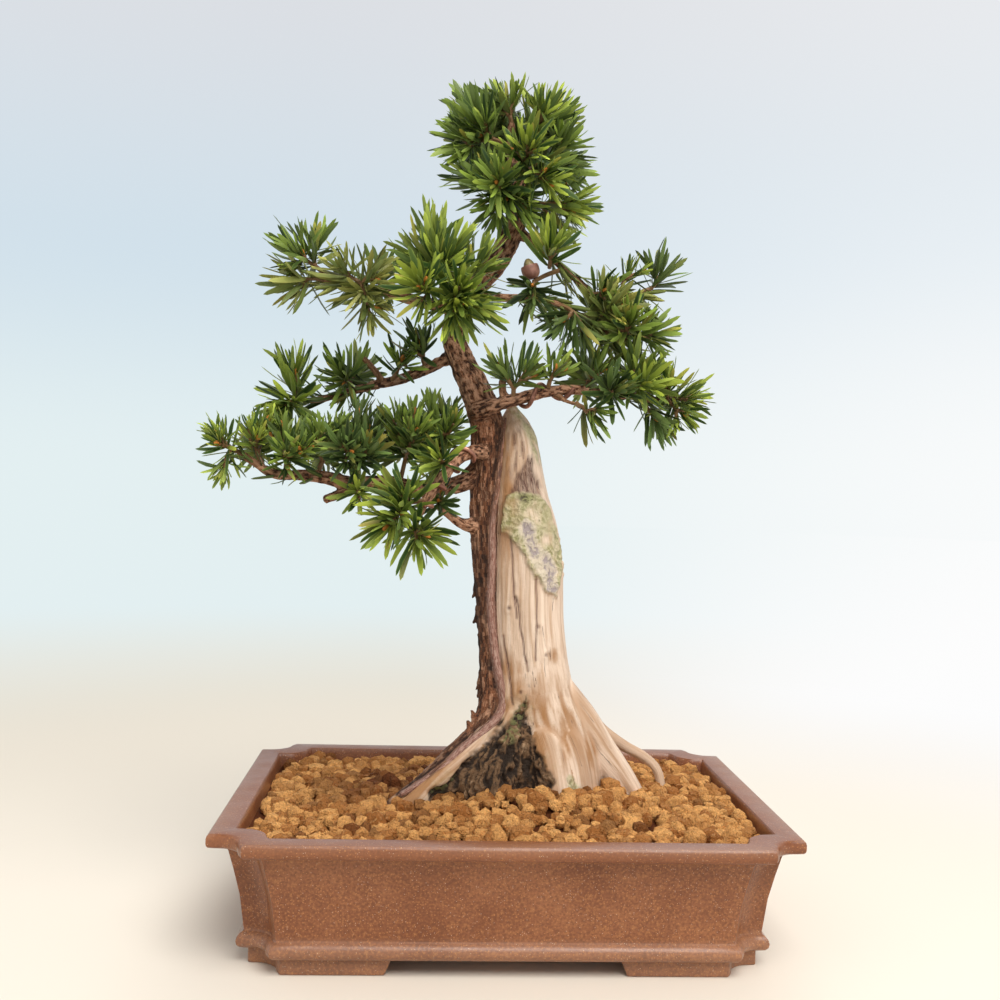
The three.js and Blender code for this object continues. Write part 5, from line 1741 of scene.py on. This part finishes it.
@dataclass
class Foliage:
    """Needles and twigs of every spray."""

    wood: WoodRoom
    width: Point = (0.5, 0.122)
    thickness: float = 0.5
    spacing: Point = (1.15, 0.05, 15)
    crown_slope: Point = (477.5, 0.33)
    crown: int = 8
    wide_lean: float = 72
    close_lean: float = 20
    along_lean: float = 50
    stations: Sequence[float] = (0.05, 0.22, 0.64, 0.9)
    widths: Sequence[float] = (0.5, 0.92, 1.0, 0.66)
    twig_radius: float = 1.3
    spare: float = 4
    whole: tuple = field(default_factory=lambda: tuple(np.array(corner) / MM for corner in CAD_BOX))
    bud_radius: float = 1.5
    bud_length: float = 4.2
    bud_form: Points = ((-0.1, 0.5), (0.15, 0.85), (0.45, 1.0), (0.75, 0.7), (1.0, 0.2))
    budded: float = 0.55
    side_reach: Point = (5, 9)
    side_length: float = 0.85
    hanging: float = -0.45
    rising: float = 0.16
    drawn_from: int = 100
    fringe_seed: int = 500
    soft_angle: float = 40

    def shoots(self, row: Spray, index: int) -> list[Shoot]:
        """All shoots of a spray: its main ones, then the side shoots that fill it.

        Args:
            row: the spray.
            index: its number, for the draws.

        Returns:
            The shoots.
        """
        droop = "hang" in row.name or "droop" in row.name
        fork = np.array(row.fork, float)
        result = []
        for number, tip in enumerate(row.tips):
            tip = np.array(tip, float)
            axis = tip - fork
            reach = np.linalg.norm(axis)
            result.append(Shoot(fork, tip, row.length, droop))
            side = unit(np.cross(axis, (0.3, 0.4, 0.9)))
            other = np.cross(unit(axis), side)
            for k in range(max(1, round(reach / 10))):
                seed = index * 31 + number * 7 + k * 1.7
                turn = 2 * math.pi * draw(seed)
                start = fork + axis * mix(0.15, 0.7, draw(seed + 0.2))
                out = math.cos(turn) * side + math.sin(turn) * other
                way = unit(unit(axis) * 0.75 + out * 0.75)
                end = start + way * mix(*self.side_reach, draw(seed + 0.4))
                result.append(Shoot(start, end, row.length * self.side_length, droop))
        return result

    def needles(self, shoot: Shoot, rng: Draws) -> dict[str, Array]:
        """Where the needles of a shoot stand and how each is shaped.

        Args:
            shoot: the shoot.
            rng: the spray's own draws.

        Returns:
            Root, aim, upper side, length, width, bend, sway and age of each needle.
        """
        axis = shoot.end - shoot.start
        reach = np.linalg.norm(axis)
        axis = axis / reach
        top = self.crown if shoot.crown else 0
        spacing = self.spacing[0] - self.spacing[1] * (shoot.length - self.spacing[2])
        count = int(reach / spacing) + top
        share = np.clip(np.linspace(0.04, 1 + top * spacing / reach * 0.4, count), 0, 1)
        turn = np.arange(count) * GOLDEN_TURN + rng.uniform(0, 6.3) + rng.normal(0, 0.2, count)
        side = unit(np.cross(axis, (0.31, 0.42, 0.85)))
        other = np.cross(axis, side)
        out = np.cos(turn)[:, None] * side + np.sin(turn)[:, None] * other
        wide = self.wide_lean if shoot.crown else self.along_lean
        lean = wide + (self.close_lean - wide) * share**1.2
        crown = np.arange(count) > count - top
        lean = np.radians(np.where(crown, rng.uniform(6, 48, count), lean + rng.normal(0, 8, count)))
        aim = np.cos(lean)[:, None] * axis + np.sin(lean)[:, None] * out
        aim[:, 2] += self.hanging if shoot.droop else self.rising
        aim = unit(aim)
        upper = unit(axis - (aim @ axis)[:, None] * aim)
        twist = rng.normal(0, 0.35, count)[:, None]
        upper = np.cos(twist) * upper + np.sin(twist) * np.cross(aim, upper)
        length = shoot.length * rng.uniform(0.85, 1.22, count) * (1 - 0.2 * share**3)
        length *= np.where(crown, rng.uniform(0.55, 0.95, count), 1)
        return {
            "root": shoot.start + axis * (share * reach)[:, None] + out * self.twig_radius * 0.6,
            "aim": aim, "upper": upper, "length": length,
            "width": (self.width[0] + self.width[1] * length) * rng.uniform(0.78, 1.1, count),
            "bend": rng.normal(0.1, 0.14, count), "sway": rng.normal(0, 0.1, count),
            "young": np.clip(share**2 * 0.5 + rng.normal(0.12, 0.38, count), 0, 1),
            "yellow": np.clip(rng.normal(-0.6, 0.5, count), 0, 0.8),
        }

    def fitting(self, grown: dict[str, Array], node: str | None = None) -> dict[str, Array]:
        """Keeps the needles out of the wood, near their solid's box and inside the whole bonsai's."""
        low, high = (np.array(corner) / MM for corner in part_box(node)) if node else self.whole
        root, aim, length = grown["root"], grown["aim"], grown["length"]
        low, high = np.maximum(low - self.spare, self.whole[0]), np.minimum(high + self.spare, self.whole[1])
        room = np.where(aim > 0, high - root, root - low) / np.maximum(np.abs(aim), 1e-6)
        level, slope = self.crown_slope
        rise = np.maximum(aim[:, 2] - slope * aim[:, 1], 1e-6)
        limit = np.minimum(room.min(axis=1), (level + slope * root[:, 1] - root[:, 2]) / rise)
        clear = np.minimum.reduce([
            self.wood.away(root + aim * (length * share)[:, None]) for share in (0.4, 0.6, 0.8, 1)])
        kept = (limit > 0.6 * length) & (clear > 0.3)
        grown["length"] = np.minimum(length, limit * 0.98)
        return {name: values[kept] for name, values in grown.items()}

    def blades(self, sets: list[dict[str, Array]]) -> tuple[Array, list, dict[str, Array]]:
        """Needle blades: flat, with a raised middle rib above and below, abruptly pointed.

        Args:
            sets: what fitting() gave for each shoot.

        Returns:
            Corners, faces, and what the finish reads at each corner.
        """
        grown = {name: np.concatenate([one[name] for one in sets]) for name in sets[0]}
        root, aim, upper = grown["root"], grown["aim"], grown["upper"]
        across = np.cross(aim, upper)
        length = grown["length"][:, None]

        def along(share: float) -> Array:
            curve = upper * grown["bend"][:, None] + across * grown["sway"][:, None]
            return root + (aim * share + curve * share * share) * length

        rings = []
        for share, width in zip(self.stations, self.widths):
            half = across * (grown["width"] * width / 2)[:, None]
            rise = upper * self.thickness / 2
            place = along(share)
            rings += [place + half, place - rise, place - half, place + rise]
        blade = np.stack([along(0), *rings, along(1)], axis=1)
        count = len(self.stations)
        faces = [(0, 1 + (k + 1) % 4, 1 + k) for k in range(4)]
        for i in range(count - 1):
            faces += band_faces(1 + 4 * i, 4)
        faces += [(4 * count - 3 + k, 4 * count - 3 + (k + 1) % 4, 4 * count + 1) for k in range(4)]
        size = blade.shape[1]
        every = [tuple(n + i * size for n in face) for i in range(len(blade)) for face in faces]
        number = len(blade)
        kept = {
            "reach": np.tile([0, *np.repeat(self.stations, 4), 1], number),
            "rim": np.tile([0.5, *[1, 0, 1, 0] * count, 1], number),
            "under": np.tile([0.5, *[0.5, 1, 0.5, 0] * count, 0.5], number),
            "young": np.repeat(grown["young"], size),
            "yellow": np.repeat(grown["yellow"], size),
            "twig": np.tile([0.4, *[0.1] * 4, *[0.0] * (4 * count - 3)], number),
            "bud": np.zeros(number * size),
        }
        return blade.reshape(-1, 3), every, kept

    def twigs(self, row: Spray, shoots: list[Shoot], rng: Draws) -> tuple:
        """Twigs under the needles, and a bud at the tip of some.

        Args:
            row: the spray.
            shoots: its shoots.
            rng: the spray's own draws.

        Returns:
            Corners, faces, and which corners are buds.
        """
        parts, buds = [], []
        runs = [(np.array(row.foot, float), np.array(row.fork, float), 1.15, 1.05)]
        runs += [(shoot.start, shoot.end, 1.0, 0.7) for shoot in shoots]
        for start, end, thick, thin in runs:
            shares = np.linspace(0, 1, 7)[:, None]
            bow = rng.normal(0, 0.5, 3) * np.sin(shares * math.pi)
            places = start + (end - start) * shares + bow
            radii = np.linspace(thick, thin, 7) * self.twig_radius
            parts.append(tube(walk(np.column_stack([places, radii]), 2.5), 6, 0.6))
            buds.append(np.zeros(len(parts[-1][0])))
        shares, thickness = np.array(self.bud_form).T
        for shoot in shoots:
            if rng.uniform() < self.budded:
                axis = unit(shoot.end - shoot.start)
                places = shoot.end + axis * (shares * self.bud_length)[:, None]
                radii = thickness * self.bud_radius * rng.uniform(0.7, 1.05)
                parts.append(tube(walk(np.column_stack([places, radii]), 0.9), 7, 0.4))
                buds.append(np.ones(len(parts[-1][0])))
        points, faces = joined(parts)
        return points, faces, np.concatenate(buds)

    def fringe(self, tone: str, finish: Material) -> int:
        """Builds and dresses the needles of one tone that stand along the branches themselves.

        Args:
            tone: the tone.
            finish: its finish.

        Returns:
            How many needles there are.
        """
        rng = np.random.default_rng(self.fringe_seed)
        sets = []
        for branch, part, length in FRINGES[tone]:
            path = np.array(LIVE_BRANCHES[branch], float)[:, :3]
            places = spline(path, np.linspace(*part, 12))
            for start, end in zip(places[:-1], places[1:]):
                shoot = Shoot(start, end, length, tone == "olive", crown=False)
                sets.append(self.fitting(self.needles(shoot, rng)))
        points, faces, kept = self.blades(sets)
        piece = new_piece(f"needles_along_{tone}", points, faces)
        note(piece, **kept)
        hand_over(piece, finish, f"needles_{tone}")
        return sum(len(grown["root"]) for grown in sets)

    def spray(self, row: Spray, index: int, finish: Material) -> int:
        """Builds and dresses one spray in the place of its solid.

        Args:
            row: the spray.
            index: its number.
            finish: its tone's finish.

        Returns:
            How many needles it has.
        """
        rng = np.random.default_rng(self.drawn_from + index)
        node = f"spray_{row.name}"
        shoots = self.shoots(row, index)
        sets = [self.fitting(self.needles(shoot, rng), node) for shoot in shoots]
        points, faces, kept = self.blades(sets)
        twig_points, twig_faces, buds = self.twigs(row, shoots, rng)
        piece = new_piece(f"needles_{row.name}", *joined([(points, faces), (twig_points, twig_faces)]))
        plain = {"twig": 1 - buds, "bud": buds}
        none = np.zeros(len(twig_points))
        note(piece, **{name: np.concatenate([kept[name], plain.get(name, none)]) for name in kept})
        activate(piece)
        bpy.ops.object.shade_smooth_by_angle(angle=math.radians(self.soft_angle))
        hand_over(piece, finish, f"needles_{row.tone}", node)
        return sum(len(grown["root"]) for grown in sets)


@dataclass
class Studio:
    """Pale floor, soft light, and the camera where the photograph was taken from."""

    place: Point = (-0.0331, -0.689, 0.245)
    yaw: float = 3.2
    pitch: float = -0.67
    roll: float = 1.58
    lens: float = 43.2
    sensor: float = 36
    looked_at: Point = (0, 0, 0.2)
    floor_reach: float = 7
    low_air: Point = (0.64, 0.75, 0.83)
    high_air: Point = (0.72, 0.735, 0.77)
    white: Point = (0.98, 0.98, 0.98)
    behind: Point = (0.4, 0.4, 0.39)
    lamps: Sequence[tuple] = (
        ("key", (0.4, -1.15, 1.6), 1.2, 38, (1, 0.98, 0.95)),
        ("fill", (-1.3, -0.9, 0.9), 1.2, 3, (1, 0.98, 0.96)),
        ("back", (0.4, 1.2, 1.5), 1.2, 7, (1, 1, 1)),
    )

    def camera(self) -> None:
        """Places the camera."""
        data = bpy.data.cameras.new("camera")
        data.sensor_fit, data.sensor_width, data.lens = "HORIZONTAL", self.sensor, self.lens
        data.clip_start, data.clip_end = 0.01, 20
        yaw, pitch, roll = (math.radians(turn) for turn in (self.yaw, self.pitch, self.roll))
        ahead = Vector((math.sin(yaw) * math.cos(pitch), math.cos(yaw) * math.cos(pitch), math.sin(pitch)))
        right = Vector((math.cos(yaw), -math.sin(yaw), 0))
        up = right.cross(ahead)
        turned_right = math.cos(roll) * right + math.sin(roll) * up
        turned_up = -math.sin(roll) * right + math.cos(roll) * up
        camera = bpy.data.objects.new("camera", data)
        bpy.context.collection.objects.link(camera)
        turned = Matrix((turned_right, turned_up, -ahead)).transposed().to_4x4()
        camera.matrix_world = Matrix.Translation(self.place) @ turned
        bpy.context.scene.camera = camera

    def light(self, name: str, place: Point, size: float, power: float, colour: Point) -> None:
        """Hangs one soft square light that looks at the tree's middle."""
        data = bpy.data.lights.new(name, "AREA")
        data.shape, data.size, data.energy, data.color = "SQUARE", size, power, colour
        lamp = bpy.data.objects.new(name, data)
        bpy.context.collection.objects.link(lamp)
        lamp.location = place
        lamp.rotation_euler = (Vector(self.looked_at) - Vector(place)).to_track_quat("-Z", "Y").to_euler()

    def world(self) -> bpy.types.World:
        """Bright air, whiter to the right, and dimmer high up behind the viewer."""
        world = bpy.data.worlds.new("soft room")
        world.use_nodes = True
        board, sky = Board(world.node_tree), world.node_tree.nodes["Background"]
        way = board.add("SeparateXYZ", {0: board.add("TexCoord").outputs["Generated"]}).outputs
        aside = board.range(board.step(way[2], 0, 0.3), 0.9, 0.4)
        aside = board.math("MULTIPLY", board.step(way[0], -0.15, 0.55), aside)
        dim = board.math("MULTIPLY", board.step(way[1], 0.6, -0.3), board.step(way[2], 0.1, 0.4))
        air = board.lay(
            AIR, (way[2], self.low_air, 1, 0, 0.2), (way[2], self.high_air, 1, 0.15, 0.42),
            (aside, self.white), (dim, self.behind))
        board.link(air, sky, "Color")
        sky.inputs["Strength"].default_value = 1
        return world

    def build(self) -> None:
        """Sets floor, lights, world and camera."""
        bpy.ops.object.select_all(action="DESELECT")
        bpy.ops.mesh.primitive_circle_add(vertices=96, radius=self.floor_reach, fill_type="NGON")
        floor = bpy.context.object
        floor.name = "floor"
        floor.data.materials.append(FloorFinish("pale paper", 1, shine=0).material())
        bpy.context.scene.world = self.world()
        for lamp in self.lamps:
            self.light(*lamp)
        bpy.context.scene.view_settings.view_transform = "Standard"
        self.camera()


def main() -> None:
    """Builds the whole bonsai and reports each piece."""
    logging.basicConfig(level=logging.INFO, format="%(message)s")
    Studio().build()
    grain = grain_group()
    tray = Tray()
    tray.build(
        ClayFinish("unglazed clay", shine=0.4, flecks=fleck_group()).material(),
        SkinFinish("screen plastic", 0.55, low=(0.02, 0.02, 0.02), high=(0.04, 0.04, 0.04)).material())
    dead = Deadwood().build(DeadwoodFinish("bleached deadwood", 0.75, shine=0.3, grain=grain).material())
    LiveWood().build(dead, BarkFinish("flaky bark", 0.72, shine=0.25, grain=grain).material())
    paths = (DEAD_TRUNK, *DEAD_ROOTS.values(), LIVE_TRUNK, *LIVE_BRANCHES.values())
    room = WoodRoom([walk(path) for path in paths])
    Soil(tray).build(room, SoilFinish("baked loam", 0.95, shine=0.15).material())
    copper = MetalFinish("dulled copper", 0.45, 0.85).material()
    Wire("wire_left", "frontLower", (0.2, 0.96), 3.4, 2.2).build(copper)
    Wire("wire_right", "rightLower", (0.24, 0.56), -1.6, 0.6).build(copper)
    Seed().build(
        SkinFinish("seed flesh", 0.5, low=(0.2, 0.08, 0.055), high=(0.36, 0.17, 0.12)).material(),
        SkinFinish("seed stone", 0.4, low=(0.13, 0.1, 0.04), high=(0.3, 0.23, 0.1)).material())
    greens = {}
    for tone in Tone:
        name = tone.name.lower()
        greens[name] = NeedleFinish(f"{name} needles", 0.45, shine=0.25, tone=tone).material()
    foliage = Foliage(WoodRoom([walk(path) for path in (*paths, SEED_ROOM)]))
    total = sum(foliage.spray(row, index, greens[row.tone]) for index, row in enumerate(SPRAYS))
    total += sum(foliage.fringe(tone, greens[tone]) for tone in FRINGES)
    LOG.info("needles in all: %d", total)


if __name__ == "__main__":
    main()
